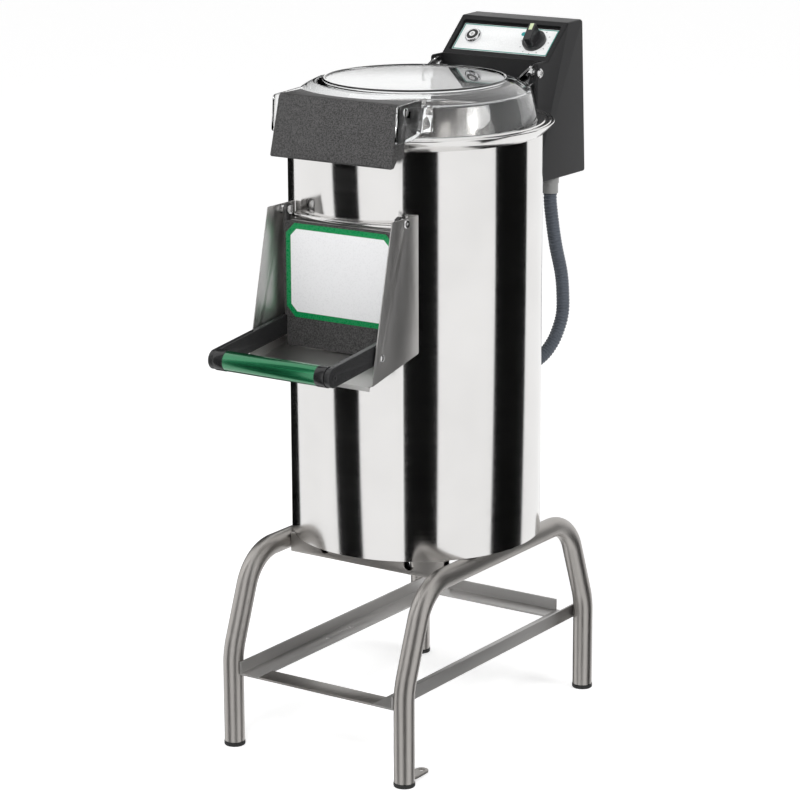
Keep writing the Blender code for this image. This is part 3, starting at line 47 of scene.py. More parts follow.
# Shared fits and facets
gap = 0.0003              # between pieces that seat on each other
running_gap = 0.0004      # between a turning piece and what it turns in
overrun = 0.004           # how far a cutter passes what it cuts
round_steps = 192         # facets round the drum
fine_steps = 64
small_steps = 32
bevel_turn = 50           # degrees; edges that turn more get a small round edge
crease_turn = 32          # degrees; edges that turn less are shaded smooth
corner_steps = 8
sheet = 0.0015            # stainless sheet

# Drum
drum_radius = 0.185
drum_top_z = 0.9040
rim_width = 0.0165        # how far the rolled rim stands out from the drum
rim_drop = 0.0110
rim_rise = 0.0068
rim_ledge = 0.0125        # how far it reaches in over the drum's mouth
rim_skirt_depth = 0.0060
rim_sheet = 0.0012
base_ring_width = 0.0350
rim_radius = drum_radius + rim_width
rim_inner_radius = drum_radius - rim_ledge
rim_under_z = drum_top_z - rim_drop
rim_top_z = drum_top_z + rim_rise
base_hole_radius = drum_radius - base_ring_width

# Outlet and chute
outlet_half_width = 0.088
outlet_low_z = 0.6030
outlet_high_z = 0.7835
outlet_wall = 0.0020
chute_half_width = 0.1070
chute_low_z = 0.6060
chute_top_z = 0.8040
chute_front_z = 0.5810
chute_top_length = 0.0320  # how far the side plates stand out from the drum, at the top
chute_low_length = 0.0840  # and at their foot
chute_top_reach = drum_radius + chute_top_length
chute_low_reach = drum_radius + chute_low_length
hood_low_z = 0.7856
hood_sheet = 0.0015
hood_half_width = 0.0930
hood_nose = 0.0030
hood_overhang = 0.0040
hood_fall = 0.0140
hood_front = drum_radius + hood_overhang
hood_side = hood_front - hood_fall

# Door, its arms and its grip
door_stand_off = 0.0060   # from the drum's front to the door's face
door_pivot_depth = 0.0076
door_pivot_z = 0.7967
door_front = drum_radius + door_stand_off
door_pivot_y = door_pivot_depth - door_front
door_sheet = 0.0030
door_half_width = 0.0980
door_low_z = 0.6006
door_high_z = 0.7825
door_ear_radius = 0.0090
door_ear_thickness = 0.0050
seal_width = 0.0040
label_half_width = 0.0935
label_low_z = 0.6435
label_high_z = 0.7800
label_cut = 0.0150
label_sheet = 0.0004
arm_inner = 0.0945
arm_outer = 0.1030
arm_height = 0.0280
arm_rear_z = 0.6300
arm_length = 0.1615
grip_y = door_front + arm_length
grip_z = 0.6113
grip_radius = 0.0145
grip_wall = 0.0015
grip_half_length = 0.0780
sleeve_radius = 0.0150
pivot_bolt_radius = 0.0040
pivot_bolt_head_radius = 0.0065
pivot_bolt_head = 0.0025
spacer_radius = 0.0065
catch_inset = 0.0245
catch_y = chute_low_reach - catch_inset
catch_z = 0.6174

# Lid and its latch handle
lid_height = 0.0492       # of the level that its hinge and its latch hang on, over the rim
lid_shoulder_drop = 0.0100
lid_set_back = 0.0070     # of the lid's foot from the drum's outside
lid_taper = 0.0090
lid_pivot_depth = 0.0045
lid_wall = 0.0030
lid_bead_inset = 0.0380
lid_bead_height = 0.0020
lid_dome_rise = 0.0092    # of the plate inside the bead over the lid's level
lid_brim_drop = 0.0062    # of the skirt's top edge under it
lid_plate_z = rim_top_z + lid_height
lid_shoulder_z = lid_plate_z - lid_shoulder_drop
lid_foot_radius = drum_radius - lid_set_back
lid_shoulder_radius = lid_foot_radius - lid_taper
lid_bead_radius = lid_shoulder_radius - lid_bead_inset
lid_pivot_y = drum_radius + lid_pivot_depth
lid_pivot_z = lid_plate_z
lid_ear_inner = 0.1035
lid_ear_sheet = 0.0030
lid_ear_flange = 0.1145
lid_rear_ear_inner = 0.0825
lid_rear_ear_outer = 0.0865
lid_rear_ear_radius = 0.0125
latch_pivot_drop = 0.0079
latch_y = lid_wall / 2 - drum_radius
latch_z = lid_plate_z - latch_pivot_drop
latch_half_width = 0.1027
latch_wall = 0.0030
latch_screw_radius = 0.0026
latch_screw_head_radius = 0.0062
latch_screw_head = 0.0016
latch_clearance = 0.0055
latch_patch_half_width = 0.0625
latch_patch_drop = 0.0510
latch_clear_radius = lid_foot_radius - latch_clearance
latch_patch_high_z = lid_plate_z - latch_patch_drop
latch_patch_rise = 0.0005

# Control box
box_half_width = 0.0940
box_height = 0.2326
box_ledge_rise = 0.0151   # of the ledge below the panel over the same level
box_ledge_depth = 0.0282  # of the same ledge behind the drum
box_depth = 0.1408        # behind the drum, at the box's foot
box_rear_lean = 0.0117
panel_run = 0.0576
panel_rise = 0.0508
panel_margin = 0.0012
box_wall = 0.0030
box_clearance = 0.0030    # to the rolled rim
pocket_half_width = 0.0885
pocket_depth = 0.0185
pocket_rise = 0.0032
box_ledge_z = lid_plate_z + box_ledge_rise
panel_high_z = box_ledge_z + panel_rise
box_top_z = panel_high_z + panel_margin
box_low_z = box_top_z - box_height
box_front = drum_radius - box_wall
box_rear_low = drum_radius + box_depth
box_rear_top = box_rear_low - box_rear_lean
panel_low_y = drum_radius + box_ledge_depth
panel_high_y = panel_low_y + panel_run
box_clear_radius = rim_radius + box_clearance
pocket_rear = lid_pivot_y + pocket_depth
pocket_low_z = rim_top_z + pocket_rise
recess_half_width = 0.0860
recess_low = 0.0075
recess_high = 0.0685
recess_depth = 0.0050
plate_half_width = 0.0835
plate_low = 0.0120
plate_high = 0.0640
plate_sheet = 0.0005
item_height = 0.0380
button_x = -0.0560
bezel_radius = 0.0130
bezel_height = 0.0069
button_radius = 0.0089
button_cap = 0.0027
button_proud = 0.0006
button_stem_radius = 0.0040
button_travel = 0.0028
button_stem_length = 0.0220
knob_x = 0.0520
knob_radius = 0.0185
knob_skirt = 0.0066
knob_grip_width = 0.0125
knob_grip_length = 0.0330
knob_grip_height = 0.0170
knob_shaft_radius = 0.0030
knob_shaft_length = 0.0160
cover_sheet = 0.0020
lid_bolt_radius = 0.0035
lid_bolt_head_radius = 0.0070
lid_bolt_head = 0.0030

# Conduit from the box to the drum
conduit_angle = math.radians(72.7)
conduit_radius = 0.0103
conduit_rib = 0.0011
conduit_pitch = 0.0050
conduit_stand_off = 0.0768
conduit_bulge = 0.0279
conduit_reach = drum_radius + conduit_stand_off
gland_radius = 0.0130
gland_length = 0.0240
gland_bore = 0.0112
conduit_entry_z = 0.5080

# Drive
spindle_radius = 0.0150
spindle_low_z = 0.3400
disc_clearance = 0.0125
disc_radius = drum_radius - disc_clearance
disc_top_z = 0.6055
disc_thickness = 0.0060
liner_wall = 0.0065
liner_top_z = 0.8000
chamber_floor_z = 0.5870
housing_low_z = 0.4400
motor_radius = 0.0620
motor_inset = 0.0730
motor_offset = drum_radius - motor_inset
motor_low_z = 0.3818
motor_high_z = 0.5450
mount_sheet = 0.0050
pulley_z = 0.3545
disc_pulley_radius = 0.0700
motor_pulley_radius = 0.0200
pulley_width = 0.0180
belt_depth = 0.0070
belt_outer_half = 0.0055
belt_inner_half = 0.0035
motor_shaft_radius = 0.0070
drain_offset = 0.0750
drain_radius = 0.0200
drain_low_z = 0.2880

# Stand
tube_radius = 0.0150
tube_wall = 0.0015
arch_inset = 0.0340
arch_z = 0.2825
arch_front_reach = 0.0727
arch_rear_reach = 0.0527
arch_x = drum_radius - arch_inset
arch_front = drum_radius + arch_front_reach
arch_rear = drum_radius + arch_rear_reach
arch_kink_z = 0.1430
arch_lean = math.radians(20.5)
arch_bend = 0.0700
kink_bend = 0.1000
foot_height = 0.0060
foot_lip = 0.0006
cross_depth = 0.0150
cross_front_inset = 0.0530
cross_rear_inset = 0.0730
cross_front = drum_radius - cross_front_inset
cross_rear = drum_radius - cross_rear_inset
cross_height = 0.0300
cross_hole_x = 0.0745
cross_hole_radius = 0.0085
rail_low_z = 0.1120
rail_height = 0.0200
rail_width = 0.0350
rail_sheet = 0.0030
lug_reach = 0.0400
lug_width = 0.0200
lug_sheet = 0.0030
lug_hole = 0.0045

# Where the drum's axis stands, so that the origin is the middle of the footprint
axis_y = ((grip_y + sleeve_radius) - box_rear_low) / 2


# Finishes by name; their materials are made further down
(brushed_steel, bright_steel, tube_steel, cast_iron, aluminium, black_plastic, dark_plastic, rubber,
 clear_plastic, white_print, green_metal, grey_pvc, grey_nylon, abrasive) = (
    "brushed_steel", "bright_steel", "tube_steel", "cast_iron", "aluminium", "black_plastic", "dark_plastic",
    "rubber", "clear_plastic", "white_print", "green_metal", "grey_pvc", "grey_nylon", "abrasive")


# Outline helpers: each works on whole arrays and gives a plain list of points
def spread(shares, first, last):
    """Points of a plane: the first corner plus shares of the way to the last one."""
    first, last = np.array(first), np.array(last)
    return (first + (last - first) * np.array(shares)).tolist()


def arc(centre, radius, first, last, steps):
    """Points of a circle, centre + radius * (cos a, sin a), for a from first to last in degrees."""
    angle = np.radians(np.linspace(first, last, steps + 1))
    return (np.array(centre) + radius * np.stack([np.cos(angle), np.sin(angle)], axis=1)).tolist()


def circle(centre, radius):
    """The outline of a round hole or pin."""
    return arc(centre, radius, 0, 360 - 360 / small_steps, small_steps - 1)


def unit(vectors):
    """Each vector at length 1: v / |v|."""
    least = 1e-12
    return vectors / np.maximum(np.linalg.norm(vectors, axis=-1, keepdims=True), least)


def rounded(points, radius, closed=True, steps=corner_steps):
    """Each corner becomes an arc that touches both its sides: the arc's middle lies on the corner's bisector
    at radius / sin(half angle), and the arc turns through 180 degrees less the corner's angle."""
    here = np.array(points, float)
    size = np.broadcast_to(np.array(radius, float), (len(here),)).copy()
    if not closed:
        size[[0, -1]] = 0
    back = unit(np.roll(here, 1, axis=0) - here)
    ahead = unit(np.roll(here, -1, axis=0) - here)
    half = np.arccos(np.clip((back * ahead).sum(axis=1), -1, 1)) / 2
    slack = 1e-4
    straight = half > math.pi / 2 - slack
    size[straight] = 0
    half[straight] = math.pi / 4
    middle = here + unit(back + ahead) * (size / np.sin(half))[:, None]
    start = here + back * (size / np.tan(half))[:, None] - middle
    side = back[:, 0] * ahead[:, 1] - back[:, 1] * ahead[:, 0]
    shares = np.linspace(0, 1, steps + 1)[None, :]
    turn = (math.pi - 2 * half)[:, None] * shares * np.where(side > 0, -1, 1)[:, None]
    spun = np.stack([start[:, 0, None] * np.cos(turn) - start[:, 1, None] * np.sin(turn),
                     start[:, 0, None] * np.sin(turn) + start[:, 1, None] * np.cos(turn)], axis=2)
    kept = np.ones((len(here), steps + 1), bool)
    kept[size <= 0, 1:] = False
    line = np.where((size > 0)[:, None, None], middle[:, None] + spun, here[:, None])
    return line[kept].tolist()


def inset(outline, distance):
    """A closed outline moved inwards: each point goes along its corner's bisector by distance / cos(half
    turn)."""
    here = np.array(outline, float)
    following = np.roll(here, -1, axis=0)
    area = (here[:, 0] * following[:, 1] - following[:, 0] * here[:, 1]).sum()
    sense = 1 if area > 0 else -1
    back = unit(here - np.roll(here, 1, axis=0))
    ahead = unit(following - here)
    normal = unit(np.stack([-back[:, 1] - ahead[:, 1], back[:, 0] + ahead[:, 0]], axis=1) * sense)
    lean = (normal * np.stack([-back[:, 1], back[:, 0]], axis=1) * sense).sum(axis=1)
    least_lean = 0.3
    return (here + normal * (distance / np.maximum(lean, least_lean))[:, None]).tolist()


# Solid helpers: a shape is its points, as one array, and its faces
order_of = {"X": (2, 0, 1), "Y": (0, 2, 1), "Z": (0, 1, 2)}


def grid_faces(rows, columns, closed_rows, closed_columns):
    """Quads of a grid of points, four neighbours each, with the last row or column joined to the first if it
    closes."""
    row = np.arange(rows if closed_rows else rows - 1)[:, None]
    column = np.arange(columns if closed_columns else columns - 1)[None, :]
    far_row, far_column = (row + 1) % rows, (column + 1) % columns
    corners = [row * columns + column, row * columns + far_column, far_row * columns + far_column,
               far_row * columns + column]
    return np.stack([corner.ravel() for corner in corners], axis=1)


def lofted(rings, closed=False):
    """A section carried through stations: the grid of stations by section points, with flat ends unless it
    closes."""
    grid = np.array(rings, float)
    rows, columns = grid.shape[:2]
    faces = grid_faces(rows, columns, closed, True).tolist()
    if not closed:
        faces += [list(range(columns)), list(range((rows - 1) * columns, rows * columns))]
    return grid.reshape(-1, 3), faces


def extruded(outline, low, high, axis="X"):
    """A prism: the outline at two levels along an axis."""
    return soft_prism(outline, low, high, 0, axis, 0)


def soft_prism(outline, low, high, edge, axis="X", steps=5):
    """A prism with round end edges: at each end the outline is inset by edge * (1 - sin t) at the level
    edge * (1 - cos t), for t from 0 to 90 degrees."""
    t = np.linspace(0, math.pi / 2, steps + 1) if steps else np.array([math.pi / 2])
    inward, along = edge * (1 - np.sin(t)), edge * (1 - np.cos(t))
    if not steps:
        inward, along = np.zeros(1), np.zeros(1)
    flat = [np.array(inset(outline, amount)) if amount > 0 else np.array(outline, float) for amount in inward]
    flat = np.array(flat + flat[::-1])
    level = np.concatenate([low + along, high - along[::-1]])
    grid = np.concatenate([flat, np.broadcast_to(level[:, None, None], (*flat.shape[:2], 1))], axis=2)
    return lofted(grid[:, :, order_of[axis]])


def welded(points, faces):
    """The same shape with points that coincide made one, and faces that lose a side made triangles."""
    first, index = np.unique(np.round(points, 7), axis=0, return_index=True, return_inverse=True)[1:]
    quads = index.reshape(-1)[np.array(faces)]
    turned_on = np.roll(quads, -1, axis=1)
    same = quads == turned_on
    whole = quads[same.sum(axis=1) == 0].tolist()
    thin = quads[same.sum(axis=1) == 1]
    keep = ~same[same.sum(axis=1) == 1]
    return points[first], whole + thin[keep].reshape(-1, 3).tolist()


def turned(profile, steps=round_steps):
    """A turned solid: (r, z) carried round Z as (r cos a, r sin a, z); points on the axis become one."""
    line = np.array(profile, float)
    angle = np.linspace(0, 2 * math.pi, steps, endpoint=False)[:, None]
    grid = np.stack([line[None, :, 0] * np.cos(angle), line[None, :, 0] * np.sin(angle),
                     np.broadcast_to(line[None, :, 1], (steps, len(line)))], axis=2)
    open_profile = line[0, 0] == 0 and line[-1, 0] == 0
    faces = grid_faces(steps, len(line), True, not open_profile)
    return welded(grid.reshape(-1, 3), faces)


def disc_profile(radius, low, high):
    """The half section (r, z) of a plain disc."""
    return [(0, low), (radius, low), (radius, high), (0, high)]


def ring_profile(inner, outer, low, high):
    """The section (r, z) of a plain ring."""
    return [(inner, low), (outer, low), (outer, high), (inner, high)]


def tube(points, radius, around=48, swell=None):
    """A round section carried along a flat curve: point + radius * (side * cos a + normal * sin a), where
    normal is the curve's plane's and side is square to both the normal and the curve."""
    path = np.array(points, float)
    ahead = unit(np.gradient(path, axis=0))
    chord = path - path[0]
    spans = np.cross(chord, path[-1] - path[0])
    normal = unit(spans[np.argmax(np.linalg.norm(spans, axis=1))])
    side = np.cross(ahead, normal)
    angle = np.linspace(0, 2 * math.pi, around, endpoint=False)
    size = radius * (np.array(swell) if swell is not None else np.ones(len(path)))
    ring = side[:, None] * np.cos(angle)[None, :, None] + normal * np.sin(angle)[None, :, None]
    return lofted(path[:, None] + ring * size[:, None, None])


def moved(shape, matrix):
    """Every point taken through a matrix at once."""
    points, faces = shape
    grid = np.array(matrix)
    return points @ grid[:3, :3].T + grid[:3, 3], faces


def shifted(shape, x=0, y=0, z=0):
    """The same shape moved by x, y and z."""
    return moved(shape, Matrix.Translation((x, y, z)))


def along_x(shape, y=0, z=0, side=1):
    """A piece turned about Z, laid along X through a place of the YZ plane."""
    return moved(shape, Matrix.Translation((0, y, z)) @ Matrix.Rotation(math.pi / 2 * side, 4, "Y"))


def mirrored(shape):
    """The same shape on the other side of the machine's middle plane, its faces turned back to point
    outwards."""
    points, faces = shape
    return points * (-1, 1, 1), [face[::-1] for face in faces]


def together(*shapes):
    """Several separate solids as one shape: each one's faces count on from the points before it."""
    starts = np.cumsum([0] + [len(points) for points, faces in shapes])
    faces = [[corner + int(start) for corner in face]
             for (points, own), start in zip(shapes, starts) for face in own]
    return np.concatenate([points for points, own in shapes]), faces


def both_sides(shape):
    """The right-hand shape with its mirror image."""
    return together(mirrored(shape), shape)


def pair(name, shape, finish, place):
    """The right-hand piece and its mirror image on the left."""
    return [add(name + "_left", mirrored(shape), finish, place), add(name + "_right", shape, finish, place)]


# Places that carry the pieces
panel_tilt = math.atan2(panel_high_z - box_ledge_z, panel_high_y - panel_low_y)
machine = Matrix.Translation((0, axis_y, 0))
panel = machine @ Matrix.Translation((0, panel_low_y, box_ledge_z)) @ Matrix.Rotation(panel_tilt, 4, "X")
made_pieces = {}


# Piece helpers: every mesh holds its own place, and its object stays at the origin
def link(name, shape, place):
    """A mesh object at the origin, whose points are already where they belong and whose faces point
    outwards."""
    points, faces = moved(shape, place)
    mesh = bpy.data.meshes.new(name)
    mesh.from_pydata(points.tolist(), [], faces)
    bm = bmesh.new()
    bm.from_mesh(mesh)
    bmesh.ops.recalc_face_normals(bm, faces=bm.faces)
    bm.to_mesh(mesh)
    bm.free()
    made = bpy.data.objects.new(name, mesh)
    bpy.context.scene.collection.objects.link(made)
    return made


def add(name, shape, finish, place):
    """The look of one CAD node, with its finish kept for later."""
    made = link(name + "_look", shape, place)
    made_pieces[name] = [made, finish, []]
    return made


def boolean(target, shape, place, operation):
    """A live Boolean with a helper shape, which goes when the piece is made final."""
    helper = link("helper", shape, place)
    change = target.modifiers.new(operation.title(), "BOOLEAN")
    change.operation = operation
    change.solver = "EXACT"
    change.object = helper
    made_pieces[target.name.removesuffix("_look")][2].append(helper)
    return target


def cut(target, shape, place):
    """Takes a shape out of a piece."""
    return boolean(target, shape, place, "DIFFERENCE")


def fuse(target, shape, place):
    """Joins a shape to a piece."""
    return boolean(target, shape, place, "UNION")


def made_final(made, helpers, width):
    """The Booleans and a small round edge made real, then smooth shading with sharp corners kept."""
    if width > 0:
        edge = made.modifiers.new("Edge", "BEVEL")
        edge.width = width
        edge.segments = 3
        edge.limit_method = "ANGLE"
        edge.angle_limit = math.radians(bevel_turn)
    graph = bpy.context.evaluated_depsgraph_get()
    mesh = bpy.data.meshes.new_from_object(made.evaluated_get(graph))
    made.modifiers.clear()
    made.data = mesh
    mesh.shade_smooth()
    mesh.set_sharp_from_angle(angle=math.radians(crease_turn))
    for helper in helpers:
        bpy.data.objects.remove(helper, do_unlink=True)


# Stand: two bent arches, their feet, the cross tubes and the drawer rails
def arch_route(extra=0):
    """One bent tube in its own plane: leg, leaning shoulder, level top, and down again."""
    foot = foot_height + gap - extra
    lean_run = (arch_z - arch_kink_z) * math.tan(arch_lean)
    corners = [(-arch_front, foot), (-arch_front, arch_kink_z), (-arch_front + lean_run, arch_z),
               (arch_rear - lean_run, arch_z), (arch_rear, arch_kink_z), (arch_rear, foot)]
    bends = [0, kink_bend, arch_bend, arch_bend, kink_bend, 0]
    bend_steps = 18
    return rounded(corners, bends, closed=False, steps=bend_steps)


def stand_arch(name, x):
    """One arch of round tube, open at its two feet, at its place x across the stand."""
    route = [(x, y, z) for y, z in arch_route()]
    arch = add(name, tube(route, tube_radius), tube_steel, machine)
    hollow = [(x, y, z) for y, z in arch_route(overrun)]
    return cut(arch, tube(hollow, tube_radius - tube_wall, small_steps), machine)


stand_arch("stand_arch_left", -arch_x)
right_arch = stand_arch("stand_arch_right", arch_x)

bore_sides = 8
plug_height = 0.0180
plug_radius = (tube_radius - tube_wall) * math.cos(math.pi / bore_sides) - gap
foot_shape = [(0, 0), (tube_radius, 0), (tube_radius + foot_lip, foot_height / 4),
              (tube_radius + foot_lip, foot_height), (plug_radius, foot_height),
              (plug_radius, plug_height), (0, plug_height)]
for end_name, y in (("front", -arch_front), ("rear", arch_rear)):
    pair("leg_foot_" + end_name, shifted(turned(foot_shape, small_steps), arch_x, y), rubber, machine)


def upper_cross(name, y):
    """A level box tube between the arches, with the two holes that the drum is bolted through."""
    reach = arch_x - tube_radius - gap
    low = arch_z - cross_height / 2
    outline = [(y, low), (y + cross_depth, low), (y + cross_depth, low + cross_height),
               (y, low + cross_height)]
    bar = add(name, extruded(rounded(outline, tube_wall), -reach, reach), tube_steel, machine)
    cut(bar, extruded(inset(outline, tube_wall), -reach - overrun, reach + overrun), machine)
    drills = [extruded(circle((x, arch_z), cross_hole_radius),
                       y - overrun, y + cross_depth + overrun, "Y") for x in (-cross_hole_x, cross_hole_x)]
    return cut(bar, together(*drills), machine)


upper_cross("upper_cross_front", -cross_front)
upper_cross("upper_cross_rear", cross_rear)

# Rails of angle section inside the legs, where the starch drawer slides in from the front
rail_front = -arch_front - foot_height
rail_rear = arch_rear + foot_height
rail_face = arch_x - tube_radius - gap
rail_shape = [(rail_face, rail_low_z), (rail_face, rail_low_z + rail_height),
              (rail_face - rail_sheet, rail_low_z + rail_height),
              (rail_face - rail_sheet, rail_low_z + rail_sheet),
              (rail_face - rail_width, rail_low_z + rail_sheet), (rail_face - rail_width, rail_low_z)]
rail_hole_radius = 0.0040
rail_hole_shares = (0.39, 0.51)
for side_name, side in (("left", -1), ("right", 1)):
    profile = [(side * x, z) for x, z in rail_shape]
    rail = add("lower_rail_" + side_name, extruded(profile, rail_front, rail_rear, "Y"), tube_steel, machine)
    holes = [shifted(turned(disc_profile(rail_hole_radius, rail_low_z - overrun,
                                         rail_low_z + rail_sheet + overrun),
                            small_steps), side * (rail_face - rail_width / 2),
                     rail_front + (rail_rear - rail_front) * share) for share in rail_hole_shares]
    cut(rail, together(*holes), machine)

rear_shape = [(rail_rear, rail_low_z), (rail_rear, rail_low_z + rail_height),
              (rail_rear - rail_sheet, rail_low_z + rail_height),
              (rail_rear - rail_sheet, rail_low_z + rail_sheet),
              (rail_rear - rail_width, rail_low_z + rail_sheet), (rail_rear - rail_width, rail_low_z)]
bar_reach = rail_face - rail_width - gap
add("lower_rail_rear", extruded(rear_shape, -bar_reach, bar_reach), tube_steel, machine)
bar_shape = [(rail_front, rail_low_z), (rail_front + rail_width, rail_low_z),
             (rail_front + rail_width, rail_low_z + rail_sheet), (rail_front, rail_low_z + rail_sheet)]
add("lower_bar_front", extruded(bar_shape, -bar_reach, bar_reach), tube_steel, machine)

# A tab with a hole, welded low on the right front leg, to fix the machine to the floor
lug_root = -arch_front + tube_radius - tube_wall / 2
lug_end = lug_root + lug_reach - lug_width / 2
lug_low = foot_height + gap * 2
lug_shape = [(arch_x - lug_width / 2, lug_root), (arch_x + lug_width / 2, lug_root)]
lug_steps = 24
lug_shape += arc((arch_x, lug_end), lug_width / 2, 0, 180, lug_steps)
fuse(right_arch, extruded(lug_shape, lug_low, lug_low + lug_sheet, "Z"), machine)
cut(right_arch, shifted(turned(disc_profile(lug_hole, lug_low - overrun, lug_low + lug_sheet + overrun),
                               small_steps),
                 arch_x, lug_end), machine)

# Drum: base ring, shell, rim, chamber floor and abrasive liner
stand_top = arch_z + tube_radius
shell_inner = drum_radius - sheet
base_low = stand_top + gap
shell_shape = [(base_hole_radius, base_low), (drum_radius, base_low), (drum_radius, drum_top_z),
               (shell_inner, drum_top_z), (shell_inner, base_low + sheet),
               (base_hole_radius, base_low + sheet)]
shell = add("drum_shell", turned(shell_shape), brushed_steel, machine)
mouth_half = outlet_half_width - outlet_wall
mouth_low = outlet_low_z + outlet_wall
mouth_high = outlet_high_z - outlet_wall
mouth = [(-mouth_half, mouth_low), (mouth_half, mouth_low), (mouth_half, mouth_high),
         (-mouth_half, mouth_high)]
mouth_back = -drum_radius / 2
cut(shell, extruded(mouth, -drum_radius - overrun, mouth_back, "Y"), machine)

rim_start = drum_radius + gap
# The rim flares out to its widest line near the top, 8 mm over the solid's; two low rings are on its top
rim_shares = ((0, 0), (0.10, 0), (0.45, 0.28), (0.72, 0.54), (0.95, 0.80), (1, 0.87), (0.985, 0.93),
              (0.90, 0.955), (0.84, 0.90), (0.70, 0.89), (0.64, 0.965), (0.50, 0.985), (0.42, 0.92),
              (0.20, 0.92), (0.10, 1), (-0.25, 1))
rim_path = spread(rim_shares, (rim_start, rim_under_z), (rim_radius, rim_top_z))
rim_path += [(rim_inner_radius + rim_sheet, rim_top_z), (rim_inner_radius, rim_top_z - rim_sheet),
             (rim_inner_radius, rim_under_z - rim_skirt_depth)]
rim_back = [(rim_inner_radius + rim_sheet, rim_under_z - rim_skirt_depth),
            (rim_inner_radius + rim_sheet, rim_top_z - rim_sheet * 2)]
rim_back_shares = ((0.40, 0.84), (0.70, 0.80), (0.86, 0.78), (0.62, 0.56), (0.36, 0.33), (0.04, 0.08))
rim_back += spread(rim_back_shares, (rim_start, rim_under_z), (rim_radius, rim_top_z))
add("drum_rim", turned(rim_path + rim_back), bright_steel, machine)

floor_sheet = 0.0020
floor_low = chamber_floor_z - floor_sheet
neck_radius = 0.0350
drain_at = (-drain_offset, -drain_offset)
chamber = add("chamber_floor",
              turned(ring_profile(neck_radius + gap, shell_inner - gap, floor_low, chamber_floor_z)),
              brushed_steel, machine)
cut(chamber, shifted(turned(disc_profile(drain_radius + gap, floor_low - overrun, chamber_floor_z + overrun),
                            fine_steps), *drain_at), machine)

liner_outer = shell_inner - gap * 3
liner = add("abrasive_liner", turned(ring_profile(liner_outer - liner_wall, liner_outer,
                                                  chamber_floor_z + gap, liner_top_z)), abrasive, machine)
cut(liner, extruded(mouth, -drum_radius - overrun, mouth_back, "Y"), machine)

# Outlet: the collar that the door closes on, the hood over it and the three sheets of the chute
seal_thickness = 0.0015
collar_front = -(door_front - door_sheet - gap - seal_thickness - gap)
collar_outer = [(-outlet_half_width, outlet_low_z), (outlet_half_width, outlet_low_z),
                (outlet_half_width, outlet_high_z), (-outlet_half_width, outlet_high_z)]
drum_clear = disc_profile(drum_radius + gap, base_low, rim_under_z)
collar = add("outlet_collar", extruded(collar_outer, collar_front, -drum_radius * math.cos(math.asin(
    outlet_half_width / drum_radius)) + overrun, "Y"), brushed_steel, machine)
cut(collar, extruded(inset(collar_outer, outlet_wall), collar_front - overrun, mouth_back, "Y"), machine)
cut(collar, turned(drum_clear), machine)

hood_z = hood_low_z + hood_nose
hood_stations = 65


def hood_rings():
    """The hood's section at each place x across it: a flat sheet from the drum, at y = -sqrt(r * r - x * x),
    to a rolled nose that falls back from the middle as x squared."""
    x = hood_half_width * np.linspace(-1, 1, hood_stations)
    back = -np.sqrt((drum_radius + gap) ** 2 - x ** 2)
    front = -hood_front + (hood_front - hood_side) * (x / hood_half_width) ** 2
    nose_start, nose_end = 30, -270
    nose = np.array(arc((0, hood_z), hood_nose, nose_start, nose_end, corner_steps * 4))
    y = np.concatenate([back[:, None], front[:, None] + nose[None, :, 0], back[:, None]], axis=1)
    z = np.concatenate([[hood_z + hood_nose - hood_sheet], nose[:, 1], [hood_z + hood_nose]])
    return np.stack([np.broadcast_to(x[:, None], y.shape), y, np.broadcast_to(z, y.shape)], axis=2)


add("outlet_hood", lofted(hood_rings()), bright_steel, machine)

plate_inner = chute_half_width - sheet
plate_rear = -math.sqrt(drum_radius ** 2 - plate_inner ** 2) - gap * 2
plate_shape = [(-chute_top_reach, chute_top_z), (plate_rear, chute_top_z), (plate_rear, chute_low_z),
               (-chute_low_reach, chute_front_z)]
bolt_clear = pivot_bolt_radius + gap
catch_shank = 0.0030
for side_name, side in (("left", -1), ("right", 1)):
    low, high = sorted((side * plate_inner, side * chute_half_width))
    plate = add("chute_side_" + side_name, extruded(rounded(plate_shape, sheet), low, high), brushed_steel,
                machine)
    drills = [extruded(circle(place, size), low - overrun, high + overrun)
              for place, size in (((door_pivot_y, door_pivot_z), bolt_clear),
                                  ((-catch_y, catch_z), catch_shank + gap))]
    cut(plate, together(*drills), machine)

fall = (chute_low_z - chute_front_z) / (plate_rear + chute_low_reach)
floor_rear = -drum_radius * math.cos(math.asin(plate_inner / drum_radius)) + overrun
floor_front = -chute_low_reach - sheet * 2
drip = 0.0050


def chute_floor_height(y):
    """The chute floor falls in a straight line towards its lip."""
    return chute_low_z + (y - plate_rear) * fall


chute_shape = [(floor_rear, chute_floor_height(floor_rear)),
               (floor_rear, chute_floor_height(floor_rear) + sheet),
               (floor_front - sheet, chute_floor_height(floor_front) + sheet),
               (floor_front - sheet, chute_floor_height(floor_front) - drip),
               (floor_front, chute_floor_height(floor_front) - drip),
               (floor_front, chute_floor_height(floor_front))]
floor_half = plate_inner - gap
chute_floor = add("chute_floor", extruded(chute_shape, -floor_half, floor_half), brushed_steel, machine)
cut(chute_floor, turned(drum_clear), machine)
cut(chute_floor, extruded([(-outlet_half_width - gap, chute_front_z),
                           (outlet_half_width + gap, chute_front_z),
                           (outlet_half_width + gap, outlet_high_z),
                           (-outlet_half_width - gap, outlet_high_z)],
                          collar_front - gap, mouth_back, "Y"), machine)

